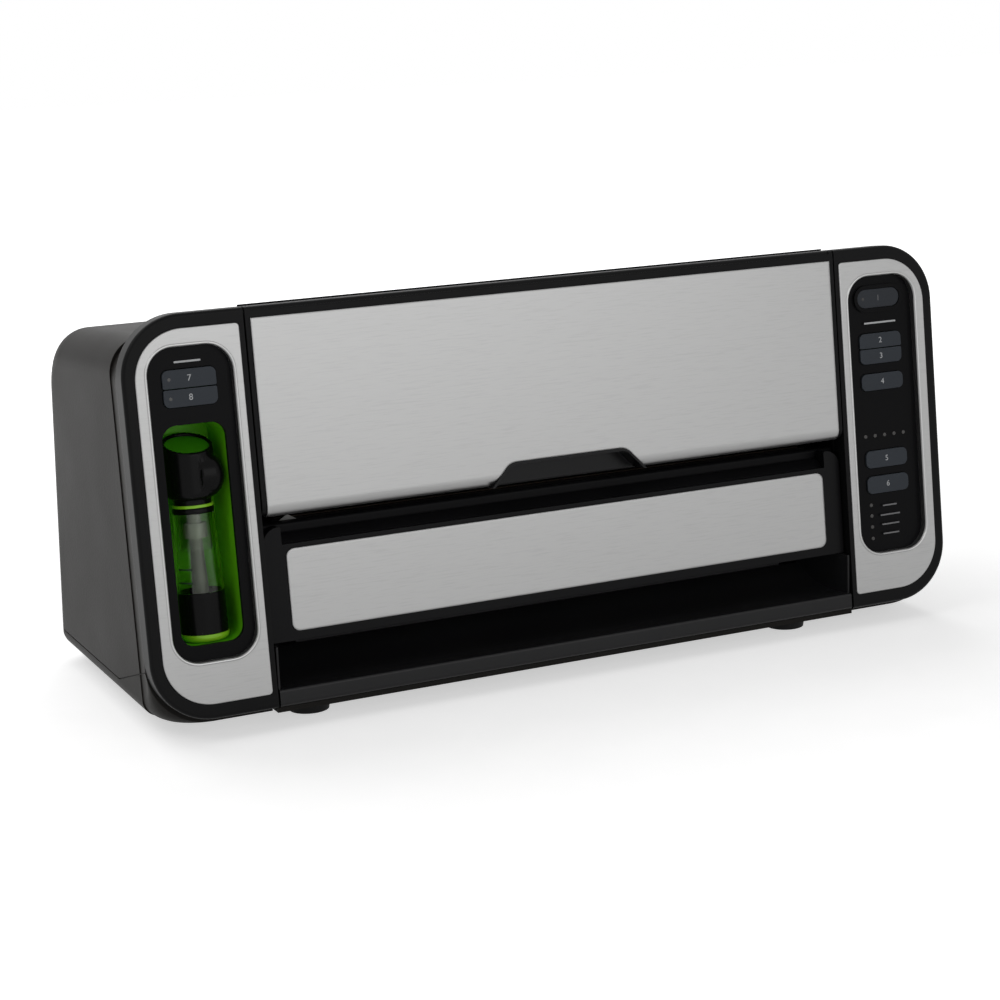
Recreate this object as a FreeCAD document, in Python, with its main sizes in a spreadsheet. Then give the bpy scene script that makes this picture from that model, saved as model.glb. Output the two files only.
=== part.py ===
"""Countertop vacuum sealer with a bag roll bay, a pop-out sealing drawer and a handheld sealer.

Millimetres, +X to the right of the user, +Y to the back, +Z up.  The origin is under the middle of the
appliance, on the surface that its four feet stand on.
"""
import FreeCAD, Part
import math
import os
import re
import Sketcher
from FreeCAD import Placement, Rotation, Vector

doc = FreeCAD.newDocument("VacuumSealer")
sheet = doc.addObject("Spreadsheet::Sheet", "Dims")
known = []
tied = {}
subparts = []
PLANES = {"front": "XZ_Plane", "side": "YZ_Plane", "plan": "XY_Plane"}
LEFT, RIGHT = -1, 1
NOT_SIZES = ("LEFT", "RIGHT", "i", "side", "half", "low", "top", "middle")


def sizes():
    """Write each size named above, and not yet written, into its own cell of the sheet."""
    for alias, number in list(globals().items()):
        if alias in known or alias in NOT_SIZES or not isinstance(number, (int, float)):
            continue
        known.append(alias)
        cell = "B%d" % len(known)
        sheet.set("A%d" % len(known), alias)
        sheet.set(cell, str(number))
        sheet.setAlias(cell, alias)
    sheet.recompute()


def ties(**rules):
    """Name sizes that follow from others."""
    tied.update(rules)


def spelled(text):
    """An expression in which each tied size is written out."""
    return re.sub(r"[a-z][a-z0-9_]*", lambda w: "(%s)" % spelled(tied[w[0]]) if w[0] in tied else w[0],
        str(text))


def bound(text):
    """An expression in which every size is read from the sheet."""
    return re.sub(r"[a-z][a-z0-9_]*", lambda w: "Dims." + w[0] if w[0] in known else w[0], spelled(text))


def value(text):
    return float(sheet.evalExpression(spelled(text)))


def leaned(depth, height):
    """Upright (y, z) of a point at a depth behind the leaning front plane and a height up it."""
    y = "(%s)*cos(lean)+(%s)*sin(lean)" % (depth, height)
    z = "(%s)*cos(lean)-(%s)*sin(lean)" % (height, depth)
    return y, z


def front_y(depth, z):
    """Upright y of the plane at a depth behind the front plane, where it crosses the height z."""
    return "(%s)/cos(lean)+(%s)*tan(lean)" % (depth, z)


def new_body(name):
    owner = doc.addObject("PartDesign::Body", name)
    owner.Label = name
    return owner


def sketch(owner, plane, shift="0"):
    """Empty sketch on the body's front, side or plan plane, moved along +Y, +X or +Z."""
    flat = next(f for f in owner.Origin.OriginFeatures if f.Role == PLANES[plane])
    page = owner.newObject("Sketcher::SketchObject", owner.Name + "_outline")
    page.AttachmentSupport = (flat, [""])
    page.MapMode = "FlatFace"
    page.setExpression("AttachmentOffset.Base.z", bound(("-(%s)" if plane == "front" else "%s") % shift))
    return page


def pin_down(page, rules):
    """Add (constraint, expression) pairs to a sketch; an expression drives its constraint."""
    added = page.addConstraint([rule for rule, _ in rules])
    for index, (_, text) in zip(added, rules):
        if text is not None:
            page.setExpression("Constraints[%d]" % index, bound(text))


def outline(page, corners):
    """Closed outline through corners (u, v) or (u, v, radius); the radius rounds that corner."""
    rule = Sketcher.Constraint
    count = len(corners)
    tips = [Vector(value(c[0]), value(c[1]), 0) for c in corners]
    radii = [value(c[2]) if len(c) > 2 else 0 for c in corners]
    enter, leave, arcs = list(tips), list(tips), {}
    for i, radius in enumerate(radii):
        if radius > 0:
            back = (tips[i - 1] - tips[i]).normalize()
            ahead = (tips[(i + 1) % count] - tips[i]).normalize()
            half = back.getAngle(ahead) / 2
            enter[i] = tips[i] + back * (radius / math.tan(half))
            leave[i] = tips[i] + ahead * (radius / math.tan(half))
            middle = tips[i] + (back + ahead).normalize() * (radius / math.sin(half))
            left_turn = (-back).cross(ahead).z > 0
            start, stop = (enter[i], leave[i]) if left_turn else (leave[i], enter[i])
            angles = [math.atan2(p.y - middle.y, p.x - middle.x) for p in (start, stop)]
            circle = Part.Circle(middle, Vector(0, 0, 1), radius)
            arcs[i] = (Part.ArcOfCircle(circle, *angles), left_turn)
    first = page.GeometryCount
    page.addGeometry([Part.LineSegment(leave[i], enter[(i + 1) % count]) for i in range(count)], False)
    rules = []
    for i, corner in enumerate(corners):
        before, after = first + (i - 1) % count, first + i
        if i in arcs:
            arc = page.addGeometry(arcs[i][0], False)
            tip = page.addGeometry(Part.Point(tips[i]), True)
            into, out = (1, 2) if arcs[i][1] else (2, 1)
            rules.append((rule("Tangent", before, 2, arc, into), None))
            rules.append((rule("Tangent", arc, out, after, 1), None))
            rules.append((rule("Radius", arc, radii[i]), corner[2]))
            rules.append((rule("PointOnObject", tip, 1, before), None))
            rules.append((rule("PointOnObject", tip, 1, after), None))
        else:
            tip = after
            rules.append((rule("Coincident", before, 2, after, 1), None))
        rules.append((rule("DistanceX", -1, 1, tip, 1, tips[i].x), corner[0]))
        rules.append((rule("DistanceY", -1, 1, tip, 1, tips[i].y), corner[1]))
    pin_down(page, rules)


def box_corners(left, right, low, top, radius=None):
    """Corners of an upright rectangle, all rounded alike if a radius is given."""
    corners = [(left, low), (right, low), (right, top), (left, top)]
    return corners if radius is None else [(u, v, radius) for u, v in corners]


def disc(page, u, v, radius):
    """Circle about (u, v)."""
    rule = Sketcher.Constraint
    centre = Vector(value(u), value(v), 0)
    circle = page.addGeometry(Part.Circle(centre, Vector(0, 0, 1), value(radius)), False)
    pin_down(page, [
        (rule("DistanceX", -1, 1, circle, 3, centre.x), u),
        (rule("DistanceY", -1, 1, circle, 3, centre.y), v),
        (rule("Radius", circle, value(radius)), radius),
    ])


def extrude(kind, page, length, both=False):
    """Pad a sketch to the back, right or up, or pocket it to the back, left or down."""
    owner = page.getParentGeoFeatureGroup()
    feature = owner.newObject("PartDesign::" + kind, owner.Name + "_" + kind.lower())
    feature.Profile = page
    feature.setExpression("Length", bound(length))
    feature.Midplane = both
    on_front = page.AttachmentSupport[0][0].Role == PLANES["front"]
    feature.Reversed = on_front and kind == "Pad"
    return feature


def pad(owner, plane, corners, length, shift="0", both=False):
    """Add the outline's prism to the body."""
    page = sketch(owner, plane, shift)
    outline(page, corners)
    return extrude("Pad", page, length, both)


def pocket(owner, plane, corners, length, shift="0", both=False):
    """Cut the outline's prism from the body."""
    page = sketch(owner, plane, shift)
    outline(page, corners)
    return extrude("Pocket", page, length, both)


def bore(owner, plane, centres, radius, length, shift="0", both=False):
    """Drill round holes of one radius at the (u, v) centres."""
    page = sketch(owner, plane, shift)
    for u, v in centres:
        disc(page, u, v, radius)
    return extrude("Pocket", page, length, both)


def stud(owner, plane, centres, radius, length, shift="0", both=False):
    """Raise round bosses of one radius at the (u, v) centres."""
    page = sketch(owner, plane, shift)
    for u, v in centres:
        disc(page, u, v, radius)
    return extrude("Pad", page, length, both)


def turn(name, corners):
    """Body turned about its own Z axis from an outline of (radius, height) corners."""
    owner = new_body(name)
    page = sketch(owner, "front")
    outline(page, corners)
    spin = owner.newObject("PartDesign::Revolution", name + "_turned")
    spin.Profile = page
    spin.ReferenceAxis = (page, ["V_Axis"])
    spin.Angle = 360
    return owner


def soften(owner, radius, chosen, kind="Fillet"):
    """Round (or chamfer) the body's edges for which chosen(edge) holds."""
    doc.recompute()
    base = owner.Tip
    names = ["Edge%d" % i for i, edge in enumerate(base.Shape.Edges, 1) if chosen(edge)]
    round_over = owner.newObject("PartDesign::" + kind, owner.Name + "_" + kind.lower())
    round_over.Base = (base, names)
    round_over.setExpression("Radius" if kind == "Fillet" else "Size", bound(radius))
    return round_over


def block(name, x, y, z):
    """Box from (low, high) pairs along each axis."""
    solid = doc.addObject("Part::Box", name)
    for side, axis, (low, high) in (("Length", "x", x), ("Width", "y", y), ("Height", "z", z)):
        solid.setExpression(side, bound("(%s)-(%s)" % (high, low)))
        solid.setExpression("Placement.Base." + axis, bound(low))
    return solid


def rod(name, axis, start, length, radius):
    """Cylinder from a start point along X, Y or Z."""
    solid = doc.addObject("Part::Cylinder", name)
    turned = {"X": Rotation(Vector(0, 1, 0), 90), "Y": Rotation(Vector(-1, 0, 0), 90), "Z": Rotation()}
    solid.Placement = Placement(Vector(), turned[axis])
    solid.setExpression("Radius", bound(radius))
    solid.setExpression("Height", bound(length))
    for name_of_axis, text in zip("xyz", start):
        solid.setExpression("Placement.Base." + name_of_axis, bound(text))
    return solid


def cut(name, base, tool):
    made = doc.addObject("Part::Cut", name)
    made.Base, made.Tool = base, tool
    return made


def fuse(name, *shapes):
    made = doc.addObject("Part::MultiFuse", name)
    made.Shapes = list(shapes)
    return made


def common(name, *shapes):
    made = doc.addObject("Part::MultiCommon", name)
    made.Shapes = list(shapes)
    return made


def group(name, solids):
    """Several like pieces kept as one sub-part."""
    made = doc.addObject("Part::Compound", name)
    made.Links = list(solids)
    return made


def finish(piece, name, leaning=False, x="0", depth="0"):
    """Name a sub-part and set it in the appliance: upright, or leaning back with the front."""
    piece.Label = name
    if leaning:
        piece.Placement = Placement(Vector(), Rotation(Vector(-1, 0, 0), value("lean")))
        piece.setExpression("Placement.Rotation.Angle", bound("lean"))
    y, z = leaned(depth, "0")
    piece.setExpression("Placement.Base.x", bound(x))
    piece.setExpression("Placement.Base.y", bound("%s - body_depth/2 - bezel_low*sin(lean)" % y))
    piece.setExpression("Placement.Base.z", bound(z))
    subparts.append(piece)
    return piece


# The whole appliance: the front leans back, the rear leans forward, and the two towers stand at the ends.
body_width = 448
body_depth = 198
lean = 5
rear_lean = 8
wall = 2.5
foot_height = 9
floor_thick = 2.5
bezel_low = 12
bezel_top = 204
bezel_deep = 11
bezel_corner = 30
tower_wide = 60.7
slide_gap = 0.3
seam_gap = 0.8
sizes()
ties(bay_half="body_width/2-tower_wide")

# Outer form of the grey housing: a loaf with a sloping top, rounded over to the rear and at its ends.
loaf_inset = 2.5
crown_drop = 13.5
crown_slope = 3.8
rear_top_round = 36
end_round = 18
flare_deep = 31
flare_mid_deep = 17
flare_sink = 4
flare_inset = 0.5
flare_mid_drop = 8
flare_mid_inset = 1.8
base_height = 18
seam_rise = 15
groove_wide = 0.6
groove_deep = 0.7
seam_start = 72
base_edge = 8
base_lip = 3
seam_end = 24
sizes()
ties(
    loaf_width="body_width-2*loaf_inset",
    flare_mid_width="body_width-2*flare_mid_inset",
    crown_height="bezel_top-crown_drop",
)
REAR = "body_depth+bezel_low*sin(lean)"
CROWN_START = front_y("flare_deep", "crown_height")


def rear_y(z, inset="0"):
    """Upright y of the rear face, or of a face inset from it, at the height z."""
    return "%s-((%s)-foot_height)*tan(rear_lean)-(%s)/cos(rear_lean)" % (REAR, z, inset)


def crown_z(y, inset="0"):
    """Upright z of the sloping top, or of a face inset from it, at y."""
    return "crown_height-((%s)-(%s))*tan(crown_slope)-(%s)/cos(crown_slope)" % (y, CROWN_START, inset)


def loaf_corners(front, floor, inset="0"):
    """Side outline of the housing, inset all round, from a depth behind the front plane."""
    corner_y = "((%s)-(crown_height-foot_height+(%s)*tan(crown_slope))*tan(rear_lean))" % (REAR, CROWN_START)
    corner_y = "(%s-(%s)/cos(rear_lean)+(%s)*tan(rear_lean)/cos(crown_slope))" % (corner_y, inset, inset)
    corner_y = "%s/(1-tan(crown_slope)*tan(rear_lean))" % corner_y
    top_front = front_y(front, "crown_height-(%s)" % inset)
    return [
        (front_y(front, floor), floor),
        (rear_y(floor, inset), floor),
        (corner_y, crown_z(corner_y, inset), "rear_top_round-(%s)" % inset),
        (top_front, crown_z(top_front, inset)),
    ]


def loaf(name, width, front, floor, inset, rounding):
    """Solid of the side outline, with the top and rear edges of both ends rounded over."""
    owner = new_body(name)
    pad(owner, "side", loaf_corners(front, floor, inset), width, both=True)
    half = value(width) / 2

    def end_edge(edge):
        point = edge.CenterOfMass
        at_front = abs(point.y - value(front_y(front, "%f" % point.z))) < 1
        low = abs(point.z - value(floor)) < 1
        return abs(abs(point.x) - half) < 0.01 and not at_front and not low

    def low_edge(edge):
        point = edge.CenterOfMass
        at_front = abs(point.y - value(front_y(front, floor))) < 1
        return abs(point.z - value(floor)) < 0.01 and not at_front

    soften(owner, rounding, end_edge)
    soften(owner, "base_edge-(%s)" % inset, low_edge)
    return owner


def flare(name, side):
    """Concave collar that carries the housing out to the rim of one tower's bezel."""
    owner = new_body(name)
    stations = (
        ("bezel_deep", "body_width/2", "bezel_low-base_lip", "bezel_top", "bezel_corner", "bezel_corner"),
        ("flare_mid_deep", "flare_mid_width/2", "(bezel_low-base_lip+foot_height)/2",
        "bezel_top-flare_mid_drop",
         "(bezel_corner+end_round)/2", "(bezel_corner+base_edge)/2"),
        ("flare_deep+flare_sink", "loaf_width/2-flare_inset",
         "(foot_height+(flare_deep+flare_sink)*sin(lean))/cos(lean)+flare_inset",
         "(crown_height+flare_deep*sin(lean))/cos(lean)-flare_inset", "end_round", "base_edge"),
    )
    pages = []
    for depth, half, low, top, corner, low_corner in stations:
        page = sketch(owner, "front", depth)
        outer = "%d*(%s)" % (side, half)
        inner = "%d*bay_half" % side
        outline(page, [(inner, low), (outer, low, low_corner), (outer, top, corner), (inner, top)])
        pages.append(page)
    loft = owner.newObject("PartDesign::AdditiveLoft", name + "_loft")
    loft.Profile = pages[0]
    loft.Sections = pages[1:]
    owner.Placement = Placement(Vector(), Rotation(Vector(-1, 0, 0), value("lean")))
    owner.setExpression("Placement.Rotation.Angle", bound("lean"))
    return owner


outer_loaf = loaf("outer_loaf", "loaf_width", "flare_deep-0.5", "foot_height", "0", "end_round")
inner_core = loaf("inner_core", "loaf_width-2*wall", "-5", "foot_height+floor_thick", "wall",
    "end_round-wall")
left_flare = flare("left_flare", LEFT)
right_flare = flare("right_flare", RIGHT)
housing_outer = fuse("housing_outer", outer_loaf, left_flare, right_flare)

# Hollow of the housing: near the front its lower corners follow the rounder corners of the bezels.
CORE_HALF = "(loaf_width/2-wall)"
COLLAR_END = front_y("flare_deep+flare_sink", "foot_height")
front_core = new_body("front_core")
pad(front_core, "front", [
    ("-" + CORE_HALF, "foot_height+floor_thick", "bezel_corner-wall"),
    (CORE_HALF, "foot_height+floor_thick", "bezel_corner-wall"),
    (CORE_HALF, "bezel_top+20"), ("-" + CORE_HALF, "bezel_top+20")], COLLAR_END + "+20", "-20")
rear_core = block("rear_core", ("-body_width/2", "body_width/2"), (COLLAR_END, "body_depth+20"), ("0",
    "bezel_top+20"))
inner_loaf = common("inner_loaf", inner_core, fuse("core_limit", front_core, rear_core))

SEAM = [
    ("seam_start", "base_height"),
    ("seam_end", "base_height+seam_rise"),
    ("-10", "base_height+seam_rise"),
]


def seam_prism(name, far):
    """Everything above or below the seam between the base pan and the housing."""
    owner = new_body(name)
    pad(owner, "side", [("-10", far), ("body_depth+20", far), ("body_depth+20", "base_height")] + SEAM,
        "body_width+20", both=True)
    return owner


def seam_groove(name):
    """Shadow line round the outside of the housing, just above the seam."""
    slab = new_body(name + "_slab")
    edge = [("body_depth+20", "base_height")] + SEAM
    raised = [(y, "%s+groove_wide" % z) for y, z in edge]
    pad(slab, "side", edge + raised[::-1], "body_width+20", both=True)
    core = loaf(name + "_core", "loaf_width-2*groove_deep", "-5", "0", "groove_deep", "end_round-groove_deep")
    return cut(name, slab, core)


# Base pan: grey moulded tray with a low rim, screwed up into the housing; it carries the feet.
foot_radius = 11.5
foot_taper = 1.5
foot_side = 25.3
front_foot = 31
rear_foot = 170
foot_seat = 1
sizes()
ties(foot_half_span="bay_half-foot_side")
below_seam = seam_prism("below_seam", "-10")
base_rim = common("base_rim", housing_outer, below_seam)
drawer_floor = block("drawer_floor", ("-bay_half", "bay_half"),
                     (front_y("3", "foot_height"), front_y("flare_deep+2", "foot_height")),
                     ("foot_height", "foot_height+floor_thick"))
base_hollow = cut("base_hollow", fuse("base_solid", base_rim, drawer_floor), inner_loaf)
FEET = [(x, y) for x in ("-foot_half_span", "foot_half_span") for y in ("front_foot", "rear_foot")]
foot_seats = [rod("foot_seat_%d" % i, "Z", (x, y, "foot_height"), "foot_seat", "foot_radius")
              for i, (x, y) in enumerate(FEET)]
base_pan = cut("base_pan", base_hollow, fuse("foot_seats", *foot_seats))
finish(base_pan, "base_pan")

# Feet: four tapered rubber pads pressed into round seats under the base.
feet = []
for i, (x, y) in enumerate(FEET):
    foot = doc.addObject("Part::Cone", "foot_%d" % i)
    foot.setExpression("Radius1", bound("foot_radius-foot_taper"))
    foot.setExpression("Radius2", bound("foot_radius"))
    foot.setExpression("Height", bound("foot_height+foot_seat"))
    foot.setExpression("Placement.Base.x", bound(x))
    foot.setExpression("Placement.Base.y", bound(y))
    feet.append(foot)
finish(group("feet", feet), "feet")

# Main housing: grey shell round both towers and the rear, open between the towers for the lid and drawer.
hinge_back = 138
knuckle_radius = 5.5
knuckle_gap = 0.7
vent_count = 9
vent_pitch = 9
vent_width = 4
vent_tall = 34
vent_low = 52
gland_inset = 13.3
gland_height = 34
gland_radius = 7
gland_flange = 2.5
sizes()
ties(gland_side="bay_half-gland_inset")
HINGE_Z = crown_z("hinge_back", "knuckle_radius")
above_seam = seam_prism("above_seam", "bezel_top+30")
shell_solid = cut("shell_solid", common("shell_outer", housing_outer, above_seam), inner_loaf)
lid_way = fuse(
    "lid_way",
    block("lid_way_box", ("-bay_half", "bay_half"), ("-10", "hinge_back"), ("base_height+2", "bezel_top+30")),
    rod("lid_way_round", "X", ("-bay_half", "hinge_back", HINGE_Z), "2*bay_half",
    "knuckle_radius+knuckle_gap"),
    block("lid_way_back", ("-bay_half", "bay_half"),
    ("hinge_back-1", "hinge_back+knuckle_radius+knuckle_gap"),
          (HINGE_Z, "bezel_top+30")),
)
vents = []
for i in range(int(value("vent_count"))):
    x = "vent_pitch*%d-vent_pitch*(vent_count-1)/2" % i
    vents.append(block("vent_%d" % i, ("%s-vent_width/2" % x, "%s+vent_width/2" % x),
                       (rear_y("vent_low+vent_tall", "wall+8"), "body_depth+20"),
                       ("vent_low", "vent_low+vent_tall")))
gland_way = rod("gland_way", "Y", ("gland_side", rear_y("gland_height", "wall+12"), "gland_height"), "40",
                "gland_radius")
main_shell = cut("main_shell", shell_solid, fuse("shell_openings", lid_way, gland_way, seam_groove("groove"),
    *vents))
finish(main_shell, "main_shell")

# Cord gland: rubber bush in the lower right of the rear wall, with a flange inside.
gland_bore = 3.5
gland_long = 9
sizes()
gland = new_body("cord_gland")
GLAND_Y = rear_y("gland_height+gland_radius+gland_flange", "wall+gland_flange+slide_gap")
stud(gland, "front", [("gland_side", "gland_height")], "gland_radius+gland_flange", "gland_flange", GLAND_Y)
stud(gland, "front", [("gland_side", "gland_height")], "gland_radius-0.05", "gland_long", GLAND_Y)
bore(gland, "front", [("gland_side", "gland_height")], "gland_bore", "gland_long+2", GLAND_Y + "-1")
finish(gland, "cord_gland")

# Side plates: the inner walls of the towers, which carry the hinge, the rollers and the cutter rail.
plate_thick = 2.5
pin_radius = 2
pin_fit = 0.05
roller_back = 50
feed_height = 91
shaft_radius = 3
rail_back = 29
rail_height = 87
rail_radius = 2.5
sizes()
for side, name in ((LEFT, "left_side_plate"), (RIGHT, "right_side_plate")):
    plate = new_body(name)
    inner = "%d*(bay_half+plate_thick/2)" % side
    rim = loaf_corners("bezel_deep+slide_gap", "foot_height+floor_thick", "wall")
    rim[1] += ("base_edge-wall+slide_gap",)
    pad(plate, "side", rim, "plate_thick", inner, both=True)
    bore(plate, "side", [("hinge_back", HINGE_Z)], "pin_radius", "plate_thick+2", inner, both=True)
    bore(plate, "side", [("roller_back", "feed_height")], "shaft_radius+pin_fit", "plate_thick+2", inner,
        both=True)
    bore(plate, "side", [("rail_back", "rail_height")], "rail_radius", "plate_thick+2", inner, both=True)
    finish(plate, name)

# Hinge pins: two short steel pins pressed into the side plates.
pin_long = 14
pin_head = 1.5
sizes()
pins = []
for side in (LEFT, RIGHT):
    start = "-bay_half-plate_thick-pin_head" if side == LEFT else "bay_half+plate_thick+pin_head-pin_long"
    pins.append(rod("hinge_pin_%d" % side, "X", (start, "hinge_back", HINGE_Z), "pin_long", "pin_radius"))
finish(group("hinge_pins", pins), "hinge_pins")

# Tower bezels: black moulded frames with a rounded outer corner, hollow behind.
bezel_face = 0.4
bezel_wall = 2.4
bezel_front = 2
bezel_edge = 2
fascia_border = 6
fascia_side = 2.5
fascia_foot = 7.3
fascia_drop = 7
fascia_corner = 24
fascia_small_corner = 2
fascia_thick = 1.2
fit_gap = 0.15
window_shift = 2.35
window_width = 41.5
window_low = 40
window_drop = 15.5
window_corner = 13
window_flange = 1
window_deep = 4
window_roll = 0.6
panel_thick = 2.5
panel_rim = 3
sizes()
ties(
    fascia_inner="bay_half+fascia_side",
    fascia_low="bezel_low+fascia_foot",
    fascia_top="bezel_top-fascia_drop",
    window_centre="bay_half/2+body_width/4-window_shift",
    window_top="bezel_top-window_drop",
)


def tower_corners(side, grow, inner, half, low, top, corner, small=None):
    """Outline of a tower: straight towards the lid, rounded at its two outer corners."""
    near, far = "%d*((%s)-(%s))" % (side, inner, grow), "%d*((%s)+(%s))" % (side, half, grow)
    low, top, corner = "(%s)-(%s)" % (low, grow), "(%s)+(%s)" % (top, grow), "(%s)+(%s)" % (corner, grow)
    tips = [(near, low), (far, low, corner), (far, top, corner), (near, top)]
    return [t if len(t) == 3 or small is None else t + (small,) for t in tips]


def bezel_corners(side, grow="0"):
    return tower_corners(side, grow, "bay_half", "body_width/2", "bezel_low", "bezel_top", "bezel_corner")


def fascia_corners(side, grow="0"):
    return tower_corners(side, grow, "fascia_inner", "body_width/2-fascia_border", "fascia_low", "fascia_top",
                         "fascia_corner", "fascia_small_corner")


def window_corners(side, grow="0"):
    """Tall rounded window of a tower's control panel."""
    half = "(window_width/2+(%s))" % grow
    left, right = ("%d*window_centre%s%s" % (side, sign, half) for sign in "-+")
    return box_corners(left, right, "window_low-(%s)" % grow, "window_top+(%s)" % grow,
                       "window_corner+(%s)" % grow)


for side, name in ((LEFT, "left_bezel"), (RIGHT, "right_bezel")):
    bezel = new_body(name)
    pad(bezel, "front", bezel_corners(side), "bezel_deep-bezel_face", "bezel_face")
    soften(bezel, "bezel_edge", lambda e: e.CenterOfMass.y < value("bezel_face") + 0.1
           and abs(e.CenterOfMass.x) > value("bay_half") + 1)
    pocket(bezel, "front", fascia_corners(side, "fit_gap"), "fascia_thick", "0")
    pocket(bezel, "front", bezel_corners(side, "-bezel_wall"), "bezel_deep", "fascia_thick+bezel_front")
    pocket(bezel, "front", window_corners(side, "window_flange+fit_gap"), "bezel_deep")
    finish(bezel, name, leaning=True)

# Tower fascias: brushed steel plates whose window edge is rolled back to the panel.
for side, name in ((LEFT, "left_fascia"), (RIGHT, "right_fascia")):
    fascia = new_body(name)
    pad(fascia, "front", fascia_corners(side), "fascia_thick")
    pad(fascia, "front", window_corners(side, "window_flange"), "window_deep")
    pocket(fascia, "front", window_corners(side), "window_deep+2", "-1")
    half, low, top = value("window_width/2") + 0.1, value("window_low") - 0.1, value("window_top") + 0.1
    middle = side * value("window_centre")
    soften(fascia, "window_roll", lambda e: e.CenterOfMass.y < 0.01
           and abs(e.CenterOfMass.x - middle) < half and low < e.CenterOfMass.z < top)
    finish(fascia, name, leaning=True)

# Control panels: black insets behind the windows, with button holes, lens holes and board bosses.
button_width = 26
button_gap = 0.3
button_round = 3
button_small_round = 0.8
button_proud = 1
button_flange = 1
button_travel = 0.6
lens_radius = 1
lens_pitch = 6.05
lens_rise = 62.9
status_shift = -11
boss_radius = 2.5
boss_inset = 5
board_deep = 10
board_thick = 1.6
niche_width = 31
niche_foot = 7.4
niche_drop = 36.6
niche_corner = 7
niche_deep = 35
niche_wall = 1.8
ring_wide = 2.2
ring_proud = 1.4
sizes()
power_drop = 7.2
power_tall = 9.8
dispense_drop = 30.7
dispense_tall = 7.8
rewind_drop = 39.1
rewind_tall = 7.8
seal_cut_drop = 52.3
seal_cut_tall = 8.8
seal_rise = 45.7
seal_tall = 9.2
cancel_rise = 31.9
cancel_tall = 9.2
vacuum_drop = 10.7
vacuum_tall = 8.6
marinate_drop = 19.9
marinate_tall = 8.2
rise_one = 25.7
rise_two = 19.9
rise_three = 13.9
rise_four = 7.6
sizes()
ties(
    niche_low="window_low+niche_foot",
    niche_top="window_top-niche_drop",
    lens_height="window_low+lens_rise",
    power_top="window_top-power_drop",
    power_low="power_top-power_tall",
    dispense_top="window_top-dispense_drop",
    dispense_low="dispense_top-dispense_tall",
    rewind_top="window_top-rewind_drop",
    rewind_low="rewind_top-rewind_tall",
    seal_cut_top="window_top-seal_cut_drop",
    seal_cut_low="seal_cut_top-seal_cut_tall",
    vacuum_top="window_top-vacuum_drop",
    vacuum_low="vacuum_top-vacuum_tall",
    marinate_top="window_top-marinate_drop",
    marinate_low="marinate_top-marinate_tall",
    seal_low="window_low+seal_rise",
    seal_top="seal_low+seal_tall",
    cancel_low="window_low+cancel_rise",
    cancel_top="cancel_low+cancel_tall",
    status_one="window_low+rise_one",
    status_two="window_low+rise_two",
    status_three="window_low+rise_three",
    status_four="window_low+rise_four",
)
POWER_ROUND = "power_top/2-power_low/2-0.1"
BUTTONS = {
    "power_button": (RIGHT, "power", POWER_ROUND, POWER_ROUND),
    "dispense_button": (RIGHT, "dispense", "button_small_round", "button_round"),
    "rewind_button": (RIGHT, "rewind", "button_round", "button_small_round"),
    "seal_cut_button": (RIGHT, "seal_cut", "button_round", "button_round"),
    "seal_button": (RIGHT, "seal", "button_round", "button_round"),
    "cancel_button": (RIGHT, "cancel", "button_round", "button_round"),
    "vacuum_button": (LEFT, "vacuum", "button_small_round", "button_round"),
    "marinate_button": (LEFT, "marinate", "button_round", "button_small_round"),
}
LENSES = [("window_centre+lens_pitch*%d" % i, "lens_height") for i in (-2, -1, 0, 1, 2)]
LENSES += [("window_centre+status_shift", row) for row in ("status_one", "status_two", "status_three",
    "status_four")]


def button_corners(side, stem, low_round, top_round, grow="0"):
    left, right = ("%d*window_centre%s(button_width/2+(%s))" % (side, sign, grow) for sign in "-+")
    low, top = "%s_low-(%s)" % (stem, grow), "%s_top+(%s)" % (stem, grow)
    return [(left, low, "%s+(%s)" % (low_round, grow)), (right, low, "%s+(%s)" % (low_round, grow)),
            (right, top, "%s+(%s)" % (top_round, grow)), (left, top, "%s+(%s)" % (top_round, grow))]


def niche_corners(grow="0"):
    half = "(niche_width/2+(%s))" % grow
    return box_corners("-window_centre-" + half, "-window_centre+" + half, "niche_low-(%s)" % grow,
                       "niche_top+(%s)" % grow, "niche_corner+(%s)" % grow)


panels = {}
for side, name in ((LEFT, "left_panel"), (RIGHT, "right_panel")):
    panel = panels[side] = new_body(name)
    pad(panel, "front", window_corners(side, "panel_rim"), "panel_thick", "window_deep")
    for button, (tower, stem, low_round, top_round) in BUTTONS.items():
        if tower == side:
            pocket(panel, "front", button_corners(side, stem, low_round, top_round, "button_gap"),
                "panel_thick+2",
                   "window_deep-1")
    rows = ["window_low-1", "window_top-boss_inset"] if side == RIGHT else ["niche_top+boss_inset+2",
        "window_top-boss_inset"]
    bosses = [("%d*window_centre%s(window_width/2-2)" % (side, sign), row) for sign in "-+" for row in rows]
    stud(panel, "front", bosses, "boss_radius", "board_deep-window_deep-0.1", "window_deep+0.1")
pad(panels[RIGHT], "front", button_corners(RIGHT, "power", POWER_ROUND, POWER_ROUND, "ring_wide"),
    "ring_proud+1",
    "window_deep-ring_proud")
pocket(panels[RIGHT], "front", button_corners(RIGHT, "power", POWER_ROUND, POWER_ROUND, "button_gap"),
    "panel_thick+8",
       "window_deep-5")
bore(panels[RIGHT], "front", LENSES, "lens_radius+pin_fit", "panel_thick+2", "window_deep-1")
pocket(panels[LEFT], "front", niche_corners(), "panel_thick+2", "window_deep-1")
finish(panels[LEFT], "left_panel", leaning=True)
finish(panels[RIGHT], "right_panel", leaning=True)

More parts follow.
